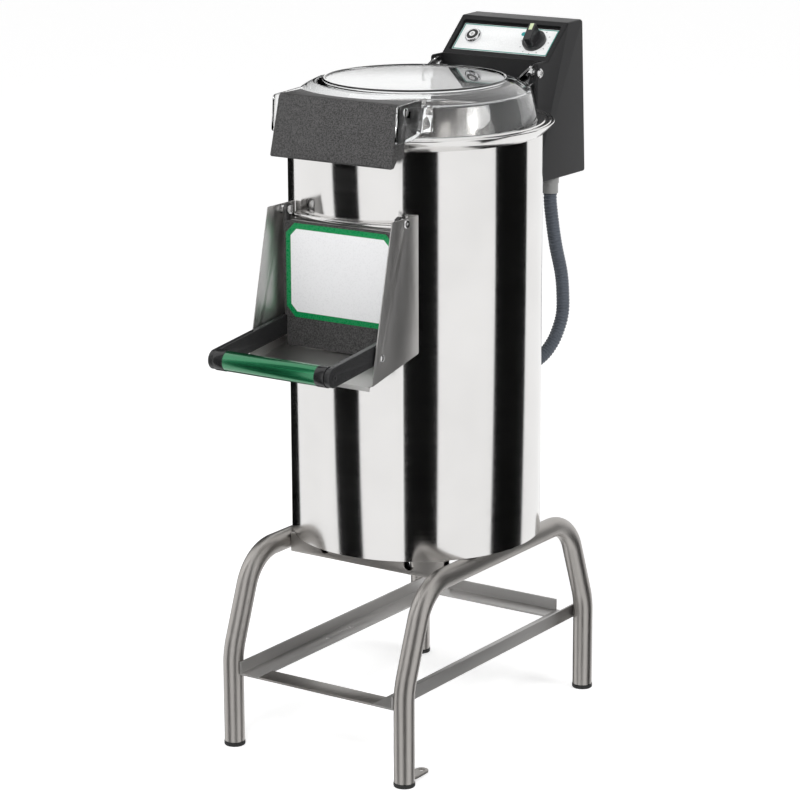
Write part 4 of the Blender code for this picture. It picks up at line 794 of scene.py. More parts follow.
# Pivot bolts of the door: head, shank, spacer and inner nut in one turned piece on each side
ear_inner = door_half_width - door_ear_thickness
pivot_head_share = 0.8
bolt_shape = [(0, ear_inner - gap - pivot_bolt_head),
              (pivot_bolt_head_radius, ear_inner - gap - pivot_bolt_head),
              (pivot_bolt_head_radius, ear_inner - gap), (pivot_bolt_radius, ear_inner - gap),
              (pivot_bolt_radius, door_half_width + gap), (spacer_radius, door_half_width + gap),
              (spacer_radius, plate_inner - gap), (pivot_bolt_radius, plate_inner - gap),
              (pivot_bolt_radius, chute_half_width + gap), (pivot_bolt_head_radius, chute_half_width + gap),
              (pivot_bolt_head_radius, chute_half_width + gap + pivot_bolt_head / 2),
              (pivot_bolt_head_radius * pivot_head_share, chute_half_width + gap + pivot_bolt_head),
              (0, chute_half_width + gap + pivot_bolt_head)]
pair("door_pivot_bolt", along_x(turned(bolt_shape, small_steps), door_pivot_y, door_pivot_z), bright_steel,
     machine)

# Door: a moulded panel on two ears, a rubber seal, a bare plate with a green edge, two arms and the grip
arm_drop = (arm_rear_z - grip_z) / (grip_y - door_front)
arm_top = arm_rear_z + arm_height / 2 + gap * 4
step_half = arm_inner - gap
door_shape = [(-step_half, door_low_z), (step_half, door_low_z), (step_half, arm_top),
              (door_half_width, arm_top),
              (door_half_width, door_high_z), (-door_half_width, door_high_z), (-door_half_width, arm_top),
              (-step_half, arm_top)]
door_corners = [door_sheet, door_sheet, 0, 0, 0, 0, 0, 0]
door_panel = add("door_panel", extruded(rounded(door_shape, door_corners), -door_front,
                                        -door_front + door_sheet, "Y"), dark_plastic, machine)
first_angle = math.degrees(math.acos((door_front + door_pivot_y) / door_ear_radius))
ear_end, ear_steps = -50, 40
ear_top = arc((door_pivot_y, door_pivot_z), door_ear_radius, 180 + first_angle, ear_end, ear_steps)
ear_low = door_high_z - door_ear_radius * 3
ear_rear = [(-door_front + door_sheet * 2, door_high_z - door_ear_radius),
            (-door_front + door_sheet, ear_low)]
ear_shape = [(-door_front, ear_low)] + ear_top + ear_rear
ear = extruded(ear_shape, ear_inner, door_half_width)
fuse(door_panel, both_sides(ear), machine)
ear_hole = extruded(circle((door_pivot_y, door_pivot_z), pivot_bolt_radius + running_gap),
                    ear_inner - overrun, door_half_width + overrun)
cut(door_panel, both_sides(ear_hole), machine)

seal_outer = spread(((0, 0), (1, 0), (1, 1), (0, 1)), (-outlet_half_width, outlet_low_z),
                    (outlet_half_width, door_high_z))
seal_front = -door_front + door_sheet + gap
seal = add("door_seal", extruded(seal_outer, seal_front, seal_front + seal_thickness, "Y"), rubber, machine)
cut(seal, extruded(inset(seal_outer, seal_width), seal_front - overrun, seal_front + seal_thickness + overrun,
                   "Y"), machine)

label_corners = [(-label_half_width, label_low_z), (label_half_width, label_low_z),
                 (label_half_width, label_high_z), (-label_half_width, label_high_z)]


def octagon(corners, size):
    """The corners of an upright rectangle, each cut off at an angle."""
    (left, low), (right, high) = corners[0], corners[2]
    return [(left + size, low), (right - size, low), (right, low + size), (right, high - size),
            (right - size, high), (left + size, high), (left, high - size), (left, low + size)]


label_back = -door_front - gap
add("door_label", extruded(octagon(label_corners, label_cut), label_back - label_sheet, label_back, "Y"),
    white_print, machine)

arm_rear_y = -door_front + door_sheet
slope = math.degrees(math.atan(arm_drop))
arm_nose = arc((-grip_y, grip_z), arm_height / 2, 90 + slope, 270 + slope, small_steps)
arm_shape = arm_nose + [(arm_rear_y, arm_nose[-1][1] + (arm_rear_y - arm_nose[-1][0]) * arm_drop),
                        (arm_rear_y, arm_nose[0][1] + (arm_rear_y - arm_nose[0][0]) * arm_drop)]
arm_edge = 0.0010
screw_shank = 0.0025
for side_name, side in (("left", -1), ("right", 1)):
    low, high = sorted((side * arm_inner, side * arm_outer))
    arm = add("door_arm_" + side_name, soft_prism(arm_shape, low, high, arm_edge), black_plastic, machine)
    cut(arm, extruded(circle((-grip_y, grip_z), screw_shank + gap),
                      low - overrun, high + overrun), machine)

add("grip_tube", along_x(turned(ring_profile(grip_radius - grip_wall, grip_radius, -grip_half_length,
                                             grip_half_length), fine_steps), -grip_y, grip_z),
    green_metal, machine)
sleeve_plug = 0.0120
sleeve_shape = [(screw_shank + gap, grip_half_length - sleeve_plug),
                (grip_radius - grip_wall - gap, grip_half_length - sleeve_plug),
                (grip_radius - grip_wall - gap, grip_half_length + gap),
                (sleeve_radius, grip_half_length + gap),
                (sleeve_radius, arm_inner - gap), (screw_shank + gap, arm_inner - gap)]
pair("grip_sleeve", along_x(turned(sleeve_shape, fine_steps), -grip_y, grip_z), black_plastic, machine)

# Lid: clear, domed up to a raised bead, with ears for the latch and the hinge; the solid's top is flat
lid_foot_z = rim_top_z + gap
skirt_lean = (lid_foot_radius - lid_shoulder_radius) / (lid_shoulder_z - lid_foot_z)
lid_dome_z = lid_plate_z + lid_dome_rise
brim_z = lid_plate_z - lid_brim_drop
skirt_top = lid_shoulder_radius - (brim_z - lid_shoulder_z) * skirt_lean
shoulder_bend = 0.0080
bead_half = 0.0030
dome_shares = ((0, 0), (0.30, 0.42), (0.62, 0.78), (1, 1))
dome = spread(dome_shares, (skirt_top, brim_z), (lid_bead_radius + bead_half, lid_dome_z))
under_dome = spread(dome_shares, (skirt_top - lid_wall, brim_z - lid_wall),
                    (lid_bead_radius, lid_dome_z - lid_wall))
outer_steps, inner_steps = 12, 9
lid_outer = rounded([(lid_foot_radius, lid_foot_z)] + dome, shoulder_bend, closed=False, steps=outer_steps)
lid_outer += [(lid_bead_radius + bead_half / 3, lid_dome_z + lid_bead_height),
              (lid_bead_radius - bead_half / 3, lid_dome_z + lid_bead_height),
              (lid_bead_radius - bead_half, lid_dome_z), (0, lid_dome_z)]
lid_inner = rounded([(lid_foot_radius - lid_wall, lid_foot_z)] + under_dome + [(0, lid_dome_z - lid_wall)],
                    shoulder_bend - lid_wall, closed=False, steps=inner_steps)
lid = add("lid_shell", turned(lid_outer[::-1] + lid_inner), clear_plastic, machine)

ear_stand_off = 0.0205
ear_length = 0.0755
ear_drop = 0.0500
ear_rise = 0.0050
ear_front_y = -drum_radius - ear_stand_off
ear_back_y = ear_front_y + ear_length
ear_low_z = lid_plate_z - ear_drop
ear_high_z = lid_plate_z + ear_rise
front_ear_shares = ((0, 0), (0.057, 0.945), (0.987, 1), (0.993, 0.74), (0.868, 0.157), (0.563, 0.026))
front_ear_corners = (0.004, 0.006, 0, 0, 0, 0.004)
front_ear = rounded(spread(front_ear_shares, (ear_front_y, ear_low_z), (ear_back_y, ear_high_z)),
                    front_ear_corners)
fuse(lid, both_sides(extruded(front_ear, lid_ear_inner, lid_ear_inner + lid_ear_sheet)), machine)
flange_shares = ((0, 0), (1, 0.56), (1, 1), (0, 0.44))
flange_length = 0.0160
flange_overlap = 0.0130
flange_margin = 0.0090
flange_front_y = ear_back_y - flange_overlap
flange = spread(flange_shares, (lid_ear_inner, flange_front_y),
                (lid_ear_flange, flange_front_y + flange_length))
flange_low_z = ear_low_z + flange_margin
flange_high_z = ear_high_z - flange_margin
fuse(lid, both_sides(extruded(flange, flange_low_z, flange_high_z, "Z")), machine)

hinge_centre = (lid_pivot_y, lid_pivot_z)
rear_ear_drop = 0.0260
rear_ear_length = 0.0415
rear_ear_low_z = lid_plate_z - rear_ear_drop
rear_ear_root = lid_pivot_y - rear_ear_length
rear_ear = [(rear_ear_root, lid_plate_z - lid_wall / 2), (rear_ear_root, rear_ear_low_z)]
rear_ear_start, rear_ear_end = -75, 105
rear_ear += arc(hinge_centre, lid_rear_ear_radius, rear_ear_start, rear_ear_end, small_steps)
fuse(lid, both_sides(extruded(rear_ear, lid_rear_ear_inner, lid_rear_ear_outer)), machine)
lid_drills = [both_sides(extruded(circle(hinge_centre, lid_bolt_radius + running_gap),
                                  lid_rear_ear_inner - overrun, lid_rear_ear_outer + overrun)),
              both_sides(extruded(circle((latch_y, latch_z), latch_screw_radius + gap),
                                  lid_ear_inner - gap * 2, lid_ear_inner + lid_ear_sheet + overrun))]
cut(lid, together(*lid_drills), machine)

# Latch handle: a hollow moulding between the lid's front ears, which swings out at its foot
cheek_inner = latch_half_width - latch_wall
ear_outer = lid_ear_inner + lid_ear_sheet
latch_lip = 0.0325
latch_tail = 0.0445
latch_drop = 0.0840
latch_cover = 0.0030
latch_low = (latch_y - latch_lip, lid_plate_z - latch_drop)
latch_high = (latch_y + latch_tail, lid_plate_z + latch_cover)
cheek_shares = ((0, 0), (0.321, 1), (1, 1), (1, 0.92), (0.943, 0.678), (0.83, 0.483), (0.472, 0.431),
                (0.472, 0.144), (0.226, 0.115), (0.132, 0.011))
cheek_corners = (0.003, 0.006, 0, 0, 0, 0, 0.002, 0.002, 0.002, 0.001)
cheek = rounded(spread(cheek_shares, latch_low, latch_high), cheek_corners)
latch_edge = 0.0015
latch = add("latch_handle", soft_prism(cheek, -latch_half_width, latch_half_width, latch_edge), dark_plastic,
            machine)
face_run = (latch_high[0] - latch_low[0]) * cheek_shares[1][0]
face_rise = latch_high[1] - latch_low[1]
face_wall = latch_wall * math.hypot(face_run, face_rise) / face_rise
below = latch_low[1] - overrun
hollow = [(latch_low[0] + face_wall - overrun * face_run / face_rise, below),
          (latch_low[0] + face_wall + face_run * (1 - latch_wall / face_rise), latch_high[1] - latch_wall),
          (latch_high[0] + overrun, latch_high[1] - latch_wall), (latch_high[0] + overrun, below)]
cut(latch, extruded(hollow, -cheek_inner, cheek_inner), machine)
cut(latch, turned(disc_profile(latch_clear_radius, latch_high[1] - latch_wall - overrun,
                               latch_high[1] + overrun)), machine)
patch_low = latch_low[1] + latch_wall
patch = [(latch_low[0] + face_run * (z - latch_low[1]) / face_rise + lift, z) for z, lift in (
    (patch_low, -latch_patch_rise), (latch_patch_high_z, -latch_patch_rise),
    (latch_patch_high_z, latch_wall / 2), (patch_low, latch_wall / 2))]
fuse(latch, extruded(patch, -latch_patch_half_width, latch_patch_half_width), machine)
cut(latch, both_sides(extruded(circle((latch_y, latch_z), latch_screw_radius + running_gap),
                               cheek_inner - gap * 3, latch_half_width + overrun)), machine)

latch_nut_radius = 0.0050
latch_nut = 0.0024
latch_head_share = 0.7
latch_screw_shape = [(0, cheek_inner - gap - latch_nut), (latch_nut_radius, cheek_inner - gap - latch_nut),
                     (latch_nut_radius, cheek_inner - gap), (latch_screw_radius, cheek_inner - gap),
                     (latch_screw_radius, ear_outer + gap), (latch_screw_head_radius, ear_outer + gap),
                     (latch_screw_head_radius, ear_outer + gap + latch_screw_head / 2),
                     (latch_screw_head_radius * latch_head_share, ear_outer + gap + latch_screw_head),
                     (0, ear_outer + gap + latch_screw_head)]
pair("latch_screw", along_x(turned(latch_screw_shape, small_steps), latch_y, latch_z), bright_steel, machine)

# Control box: one hollow moulding that wraps the drum, with a pocket for the lid's hinge ears
box_shares = ((0, 0), (0, 0.7765), (0.217, 0.7765), (0.6175, 0.9949), (0.9187, 1), (1, 0))
box_corners = (0.003, 0.005, 0, 0.003, 0.006, 0.004)
box_outline = rounded(spread(box_shares, (box_front, box_low_z), (box_rear_low, box_top_z)), box_corners)
box_edge = 0.0030
box = add("control_box", soft_prism(box_outline, -box_half_width, box_half_width, box_edge), black_plastic,
          machine)
cut(box, turned(disc_profile(box_clear_radius, box_low_z - overrun, box_ledge_z + overrun)), machine)
pocket = [(0, pocket_low_z), (pocket_rear, pocket_low_z), (pocket_rear, box_top_z + overrun),
          (0, box_top_z + overrun)]
cut(box, extruded(pocket, -pocket_half_width, pocket_half_width), machine)
recess = [(-recess_half_width, recess_low), (recess_half_width, recess_low), (recess_half_width, recess_high),
          (-recess_half_width, recess_high)]
cut(box, extruded(rounded(recess, box_edge), -recess_depth, overrun, "Z"), panel)

cavity_half = box_half_width - box_wall
cavity_low = box_low_z + box_wall
cavity_front = pocket_rear + box_wall
behind = recess_depth + box_wall
slope_y = panel_low_y + behind * math.sin(panel_tilt)
slope_z = box_ledge_z - behind * math.cos(panel_tilt)
cavity_top = box_top_z - box_wall
cavity_back = box_rear_low + overrun
cavity = [(cavity_front, cavity_low),
          (cavity_front, slope_z - (slope_y - cavity_front) * math.tan(panel_tilt)),
          (slope_y + (cavity_top - slope_z) / math.tan(panel_tilt), cavity_top), (cavity_back, cavity_top),
          (cavity_back, cavity_low)]
cut(box, extruded(cavity, -cavity_half, cavity_half), machine)
lower_radius = box_clear_radius + box_wall
lower_angle = math.degrees(math.acos(cavity_half / lower_radius))
lower_plan = arc((0, 0), lower_radius, lower_angle, 180 - lower_angle, corner_steps * 2)
lower_plan += [(-cavity_half, cavity_front + overrun), (cavity_half, cavity_front + overrun)]
cut(box, extruded(lower_plan, cavity_low, pocket_low_z - box_wall, "Z"), machine)

gland_spigot = 0.0080
spigot_clear = gland_spigot + gap
conduit_x = conduit_reach * math.cos(conduit_angle)
conduit_y = conduit_reach * math.sin(conduit_angle)
cable_x = 0.0600
cable_margin = 0.0638
cable_at = (-cable_x, box_rear_low - cable_margin)
box_drills = [shifted(turned(disc_profile(spigot_clear, box_low_z - overrun, cavity_low + overrun),
                             small_steps), *place)
              for place in ((conduit_x, conduit_y), cable_at)]
box_drills.append(both_sides(extruded(circle(hinge_centre, lid_bolt_radius + gap),
                                      pocket_half_width - overrun, box_half_width + overrun)))
cut(box, together(*box_drills), machine)
stem_clear = button_stem_radius + gap
shaft_clear = knob_shaft_radius + running_gap
panel_drill_low = -behind - overrun
panel_drills = [shifted(turned(disc_profile(size, panel_drill_low, overrun), small_steps), x, item_height)
                for x, size in ((button_x, stem_clear), (knob_x, shaft_clear))]
cut(box, together(*panel_drills), panel)

cover_gap = gap * 2


def rear_face(z, inward):
    """A point of the box's leaning rear face, or in front of it."""
    return box_rear_low + (box_rear_top - box_rear_low) * (z - box_low_z) / (box_top_z - box_low_z) - inward


cover_ends = (cavity_low + cover_gap, cavity_top - cover_gap)
cover_shape = [(rear_face(z, cover_gap), z) for z in cover_ends]
cover_shape += [(rear_face(z, cover_gap + cover_sheet), z) for z in reversed(cover_ends)]
add("box_rear_cover", extruded(cover_shape, -cavity_half + gap, cavity_half - gap), black_plastic, machine)

bracket_first = 75
bracket_last = 180 - bracket_first
bracket_rise = 0.0205
bracket_height = 0.0600
bracket_low_z = box_low_z + bracket_rise
bracket_high_z = bracket_low_z + bracket_height
bracket_wall = 0.0020
bracket_inner = drum_radius + gap
bracket_outer = box_clear_radius - gap
leg_turn = math.degrees(bracket_wall / bracket_inner)
bracket_plan = arc((0, 0), bracket_outer, bracket_first, bracket_last, 4)
bracket_plan += arc((0, 0), bracket_inner, bracket_last, bracket_last - leg_turn, 1)
bracket_plan += arc((0, 0), bracket_outer - bracket_wall, bracket_last - leg_turn, bracket_first + leg_turn,
                    4)
bracket_plan += arc((0, 0), bracket_inner, bracket_first + leg_turn, bracket_first, 1)
add("box_bracket", extruded(bracket_plan, bracket_low_z, bracket_high_z, "Z"), tube_steel, machine)

# Control panel: bare plate, push button in its ring, and the timer's knob
plate_high_face = plate_sheet + gap - recess_depth
plate_shape = [(-plate_half_width, plate_low), (plate_half_width, plate_low), (plate_half_width, plate_high),
               (-plate_half_width, plate_high)]
printed = add("control_label", extruded(plate_shape, plate_high_face - plate_sheet, plate_high_face, "Z"),
              white_print, panel)
cut(printed, together(*panel_drills), panel)

bezel_low = plate_high_face + gap
bezel_high = bezel_low + bezel_height
bezel_floor = 0.0017
bezel_bore = button_radius + gap
bezel_shape = [(stem_clear, bezel_low), (bezel_radius, bezel_low), (bezel_radius, bezel_high - button_travel),
               (bezel_radius - bezel_floor, bezel_high), (bezel_bore, bezel_high),
               (bezel_bore, bezel_low + bezel_floor), (stem_clear, bezel_low + bezel_floor)]
button_at = (button_x, item_height, 0)
add("button_bezel", shifted(turned(bezel_shape, fine_steps), *button_at), aluminium, panel)
cap_high = bezel_high + button_proud
cap_low = cap_high - button_cap
button_shape = [(0, -button_stem_length), (button_stem_radius, -button_stem_length),
                (button_stem_radius, cap_low),
                (button_radius, cap_low), (button_radius, cap_high - button_proud),
                (button_radius - button_proud, cap_high), (0, cap_high)]
add("start_button", shifted(turned(button_shape, fine_steps), *button_at), white_print, panel)

knob_at = (knob_x, item_height, 0)
knob_low = plate_high_face + running_gap
knob_mid = knob_low + knob_skirt
skirt_step = 0.0012
knob_shape = [(0, -knob_shaft_length), (knob_shaft_radius, -knob_shaft_length), (knob_shaft_radius, knob_low),
              (knob_radius, knob_low), (knob_radius, knob_mid - skirt_step),
              (knob_radius - skirt_step, knob_mid), (0, knob_mid)]
knob = add("timer_knob", shifted(turned(knob_shape, fine_steps), *knob_at), black_plastic, panel)
knob_turn = math.radians(6)
bar_half = knob_grip_width / 2
bar_end = knob_grip_length / 2
bar_corner_share = 0.6
bar_plan = rounded([(-bar_half, -bar_end), (bar_half, -bar_end), (bar_half, bar_end), (-bar_half, bar_end)],
                   bar_half * bar_corner_share)
grip_bar = soft_prism(bar_plan, knob_mid - skirt_step, knob_mid + knob_grip_height, skirt_step, "Z")
fuse(knob, moved(grip_bar, Matrix.Translation(knob_at) @ Matrix.Rotation(knob_turn, 4, "Z")), panel)

# Lid hinge bolts through the cheeks of the box
hinge_nut = 0.0037
hinge_nut_radius = 0.0060
lid_head_share = 0.75
hinge_shape = [(0, lid_rear_ear_inner - gap - hinge_nut),
               (hinge_nut_radius, lid_rear_ear_inner - gap - hinge_nut),
               (hinge_nut_radius, lid_rear_ear_inner - gap), (lid_bolt_radius, lid_rear_ear_inner - gap),
               (lid_bolt_radius, box_half_width + gap), (lid_bolt_head_radius, box_half_width + gap),
               (lid_bolt_head_radius, box_half_width + gap + lid_bolt_head / 2),
               (lid_bolt_head_radius * lid_head_share, box_half_width + gap + lid_bolt_head),
               (0, box_half_width + gap + lid_bolt_head)]
pair("lid_pivot_bolt", along_x(turned(hinge_shape, small_steps), lid_pivot_y, lid_pivot_z), bright_steel,
     machine)


# Conduit: a ribbed hose held between two glands, and the glands
def along_radius(shape, z, angle):
    """A piece turned about Z, laid along the drum's radius at one angle."""
    return moved(shape, Matrix.Translation((0, 0, z)) @ Matrix.Rotation(angle, 4, "Z")
                 @ Matrix.Rotation(math.pi / 2, 4, "Y"))


gland_nut = 0.0042
gland_nut_radius = 0.0115
gland_passage = 0.0058
gland_grip = 0.0160
gland_rib = 0.0010


def gland(wall, bore):
    """A screwed gland: its seat is z = 0, its mouth stands up and its spigot passes a wall below."""
    nut_share = 0.35
    nut_top = gland_length * nut_share
    return turned([(gland_passage, -wall - gland_nut * 2), (gland_spigot, -wall - gland_nut * 2),
                   (gland_spigot, -wall - gland_nut - gap), (gland_nut_radius, -wall - gland_nut - gap),
                   (gland_nut_radius, -wall - gap), (gland_spigot, -wall - gap), (gland_spigot, gap),
                   (gland_radius, gap), (gland_radius, nut_top),
                   (gland_radius - gland_rib, nut_top + gland_rib), (gland_radius - gland_rib, gland_length),
                   (bore, gland_length), (bore, gland_length - gland_grip),
                   (gland_passage, gland_length - gland_grip)], small_steps)


def hung(bm, x, y, z):
    """A gland turned over, so that it hangs from a level wall."""
    return moved(bm, Matrix.Translation((x, y, z)) @ Matrix.Rotation(math.pi, 4, "X"))


shell_wall = sheet + gap * 2
add("conduit_gland_box", hung(gland(box_wall, gland_bore), conduit_x, conduit_y, box_low_z), grey_nylon,
    machine)
drum_gland = shifted(gland(shell_wall, gland_bore), 0, 0, drum_radius)
add("conduit_gland_drum", along_radius(drum_gland, conduit_entry_z, conduit_angle), grey_nylon, machine)
cable_bore = gland_passage + gland_rib
add("power_cable_gland", hung(gland(box_wall, cable_bore), *cable_at, box_low_z), black_plastic, machine)

inlet_angle = math.radians(180)
inlet_drop = 0.0590
inlet_z = drum_top_z - inlet_drop
inlet_radius = 0.0120
inlet_nozzle = 0.0100
inlet_bore = 0.0075
inlet_length = 0.0160
inlet_reach = drum_radius + inlet_length
inlet_collar_share = 1.3
inlet_collar = inlet_radius * inlet_collar_share
inlet_shape = [(inlet_bore, shell_inner - inlet_nozzle), (inlet_nozzle, shell_inner - inlet_nozzle),
               (inlet_nozzle, drum_radius + gap), (inlet_collar, drum_radius + gap),
               (inlet_collar, drum_radius + inlet_nozzle / 2),
               (inlet_radius, drum_radius + inlet_nozzle / 2),
               (inlet_radius, inlet_reach), (inlet_bore, inlet_reach)]
add("water_inlet", along_radius(turned(inlet_shape, fine_steps), inlet_z, inlet_angle), bright_steel, machine)
shell_drills = [along_radius(turned(disc_profile(spigot_clear, -mouth_back, drum_radius + overrun),
                                    small_steps), conduit_entry_z, conduit_angle),
                along_radius(turned(disc_profile(inlet_nozzle + gap * 2, -mouth_back, drum_radius + overrun),
                                    small_steps), inlet_z, inlet_angle)]
cut(shell, together(*shell_drills), machine)

conduit_end_z = box_low_z - gland_length + gland_grip - gap * 3
conduit_end_reach = drum_radius + gland_length - gland_grip + gap * 3
lead = conduit_radius * 2
route_shares = ((0.115, 0.821), (0.419, 0.656), (0.867, 0.483), (1, 0.351), (0.968, 0.259), (0.724, 0.184),
                (0.258, 0.105), (-0.494, 0.040))
route_turns = [(conduit_reach, conduit_end_z), (conduit_reach, conduit_end_z - lead)]
route_turns += spread(route_shares, (conduit_reach, conduit_entry_z),
                      (conduit_reach + conduit_bulge, conduit_end_z))
route_turns += [(conduit_end_reach + lead, conduit_entry_z), (conduit_end_reach, conduit_entry_z)]


def smooth_route(points, step):
    """A soft curve through the points, straight at both ends: each stretch is the cubic that leaves and
    arrives along the chords of its neighbours, and the whole is given again at even steps of its length."""
    knots = np.array(points, float)
    end = len(knots) - 1
    k = np.arange(end + 1)
    near = np.where(k <= 1, 0, np.where(k >= end - 1, end - 1, k - 1))
    far = np.where(k <= 1, 1, np.where(k >= end - 1, end, k + 1))
    heading = unit(knots[far] - knots[near])
    size = np.linalg.norm(np.diff(knots, axis=0), axis=1)[:, None, None]
    t = np.linspace(0, 1, corner_steps * 3, endpoint=False)[None, :, None]
    fine = (knots[:-1, None] * (2 * t ** 3 - 3 * t ** 2 + 1)
            + heading[:-1, None] * size * (t ** 3 - 2 * t ** 2 + t)
            + knots[1:, None] * (3 * t ** 2 - 2 * t ** 3)
            + heading[1:, None] * size * (t ** 3 - t ** 2))
    fine = np.concatenate([fine.reshape(-1, 2), knots[-1:]])
    passed = np.concatenate([[0], np.cumsum(np.linalg.norm(np.diff(fine, axis=0), axis=1))])
    goal = np.linspace(0, passed[-1], round(passed[-1] / step / 2) * 2 + 1)
    return np.stack([np.interp(goal, passed, fine[:, 0]), np.interp(goal, passed, fine[:, 1])], axis=1)


def in_radial_plane(route):
    """(reach, z) points as (reach * cos a, reach * sin a, z), for the plane at the conduit's angle a."""
    return np.stack([route[:, 0] * math.cos(conduit_angle), route[:, 0] * math.sin(conduit_angle),
                     route[:, 1]], axis=1)


rib_stations = 10
conduit_line = in_radial_plane(smooth_route(route_turns, conduit_pitch / rib_stations))
rib_phase = 2 * math.pi * np.arange(len(conduit_line)) / rib_stations
rib_power = 1.6
conduit_steps = 40
swell = 1 - conduit_rib / conduit_radius * (0.5 + 0.5 * np.cos(rib_phase)) ** rib_power
add("conduit", tube(conduit_line, conduit_radius, conduit_steps, swell), grey_pvc, machine)

# Drive: bearing housing, spindle with the abrasive disc, motor, pulleys and belt
bearing_outer = 0.0260
seat = bearing_outer + gap
journal = spindle_radius + running_gap
housing_body = 0.0380
housing_flange = 0.0600
flange_top = floor_low - gap
housing_flange_sheet = 0.0080
flange_low = flange_top - housing_flange_sheet
housing_top = chamber_floor_z + mount_sheet
seat_depth = 0.0303
top_seat = housing_top - seat_depth
housing_shape = [(journal, housing_low_z), (journal, top_seat), (seat, top_seat), (seat, housing_top),
                 (neck_radius, housing_top), (neck_radius, flange_top), (housing_flange, flange_top),
                 (housing_flange, flange_low), (housing_body, flange_low), (housing_body, housing_low_z)]
add("bearing_housing", turned(housing_shape, fine_steps), cast_iron, machine)
bearing_width = 0.0160
add("spindle_bearing", turned(ring_profile(journal, bearing_outer, top_seat + gap, top_seat + bearing_width),
                              fine_steps), bright_steel, machine)

plate_low_z = disc_top_z - disc_thickness
hub_radius = spindle_radius * 2
disc_shape = [(journal, plate_low_z - disc_thickness), (hub_radius, plate_low_z - disc_thickness),
              (hub_radius, plate_low_z), (disc_radius, plate_low_z), (disc_radius, disc_top_z),
              (journal, disc_top_z)]
disc = add("abrasive_disc", turned(disc_shape), abrasive, machine)
ridge_half = 0.0150
ridge_low = disc_top_z - gap * 3
ridge_start_share, ridge_end_share = 0.27, 0.95
ridges = 3
ridge_outline = [(-ridge_half, ridge_low), (ridge_half, ridge_low),
                 (ridge_half / 2, ridge_low + mount_sheet), (-ridge_half / 2, ridge_low + mount_sheet)]
for k in range(ridges):
    ridge = extruded(ridge_outline, disc_radius * ridge_start_share, disc_radius * ridge_end_share)
    fuse(disc, moved(ridge, Matrix.Rotation(2 * math.pi * k / ridges, 4, "Z")), machine)

cap_radius = 0.0220
cap_seat = disc_top_z + gap
cap_height = 0.0042
cap_top_share, cap_bend_share = 0.7, 1.8
spindle_shape = [(0, spindle_low_z), (spindle_radius, spindle_low_z), (spindle_radius, cap_seat),
                 (cap_radius, cap_seat), (cap_radius, cap_seat + cap_height),
                 (cap_radius * cap_top_share, cap_seat + cap_height * cap_bend_share),
                 (0, cap_seat + cap_height * 2)]
add("spindle", turned(spindle_shape, fine_steps), bright_steel, machine)


def pulley(name, radius, bore, x, y, steps):
    """A pulley with one V groove, whose flanks clear the belt."""
    low = pulley_z - pulley_width / 2
    high = pulley_z + pulley_width / 2
    outer_half = belt_outer_half + running_gap
    inner_half = belt_inner_half + running_gap
    root = radius - belt_depth - running_gap * 2
    shape = [(bore, low), (radius, low), (radius, pulley_z - outer_half), (root, pulley_z - inner_half),
             (root, pulley_z + inner_half), (radius, pulley_z + outer_half), (radius, high), (bore, high)]
    return add(name, shifted(turned(shape, steps), x, y), cast_iron, machine)


pulley("disc_pulley", disc_pulley_radius, journal, 0, 0, fine_steps)
pulley("motor_pulley", motor_pulley_radius, motor_shaft_radius + gap, 0, motor_offset, fine_steps)

belt_turn = math.degrees(math.acos((disc_pulley_radius - motor_pulley_radius) / motor_offset))
belt_round = 1 / math.cos(math.pi / fine_steps)


def belt_stations(y, radius, first, last, steps):
    """Sections of the belt, square to its run, where it lies round one pulley."""
    outside = np.array(arc((0, y), radius * belt_round, first, last, steps))
    inside = np.array(arc((0, y), (radius - belt_depth) * belt_round, first, last, steps))
    plan = np.stack([outside, outside, inside, inside], axis=1)
    level = pulley_z + np.array([-belt_outer_half, belt_outer_half, belt_inner_half, -belt_inner_half])
    return np.concatenate([plan, np.broadcast_to(level[None, :, None], (*plan.shape[:2], 1))],
                          axis=2).tolist()


belt_steps = 96
belt = belt_stations(0, disc_pulley_radius, 90 + belt_turn, 90 + 360 - belt_turn, belt_steps)
belt += belt_stations(motor_offset, motor_pulley_radius, 90 - belt_turn, 90 + belt_turn, small_steps)
add("drive_belt", lofted(belt, closed=True), rubber, machine)

mount_low = motor_low_z - gap - mount_sheet
mount_high = motor_low_z - gap
mount = add("motor_mount", turned(disc_profile(shell_inner - gap, mount_low, mount_high)), cast_iron, machine)
mount_holes = ((0, 0, 0.0450), (0, motor_offset, 0.0120), (*drain_at, drain_radius + sheet))
drills = [shifted(turned(disc_profile(size, mount_low - overrun, mount_high + overrun), small_steps), x, y)
          for x, y, size in mount_holes]
cut(mount, together(*drills), machine)

motor_flange = 0.0700
motor_flange_sheet = 0.0080
motor_cap_height = 0.0250
motor_flange_top = motor_low_z + motor_flange_sheet
motor_cap_low = motor_high_z - motor_cap_height
shaft_seat = 0.0300
shaft_play = motor_shaft_radius + running_gap
motor_cap_share, motor_end_share = 0.93, 0.85
motor_shape = [(0, motor_low_z + shaft_seat), (shaft_play, motor_low_z + shaft_seat),
               (shaft_play, motor_low_z), (motor_flange, motor_low_z), (motor_flange, motor_flange_top),
               (motor_radius, motor_flange_top), (motor_radius, motor_cap_low),
               (motor_radius * motor_cap_share, motor_cap_low),
               (motor_radius * motor_cap_share, motor_high_z - overrun),
               (motor_radius * motor_end_share, motor_high_z), (0, motor_high_z)]
add("motor_body", shifted(turned(motor_shape, fine_steps), 0, motor_offset), cast_iron, machine)
shaft_low = pulley_z - pulley_width / 2 - sheet
shaft_shape = disc_profile(motor_shaft_radius, shaft_low, motor_low_z + shaft_seat - gap * 2)
add("motor_shaft", shifted(turned(shaft_shape, small_steps), 0, motor_offset), bright_steel, machine)

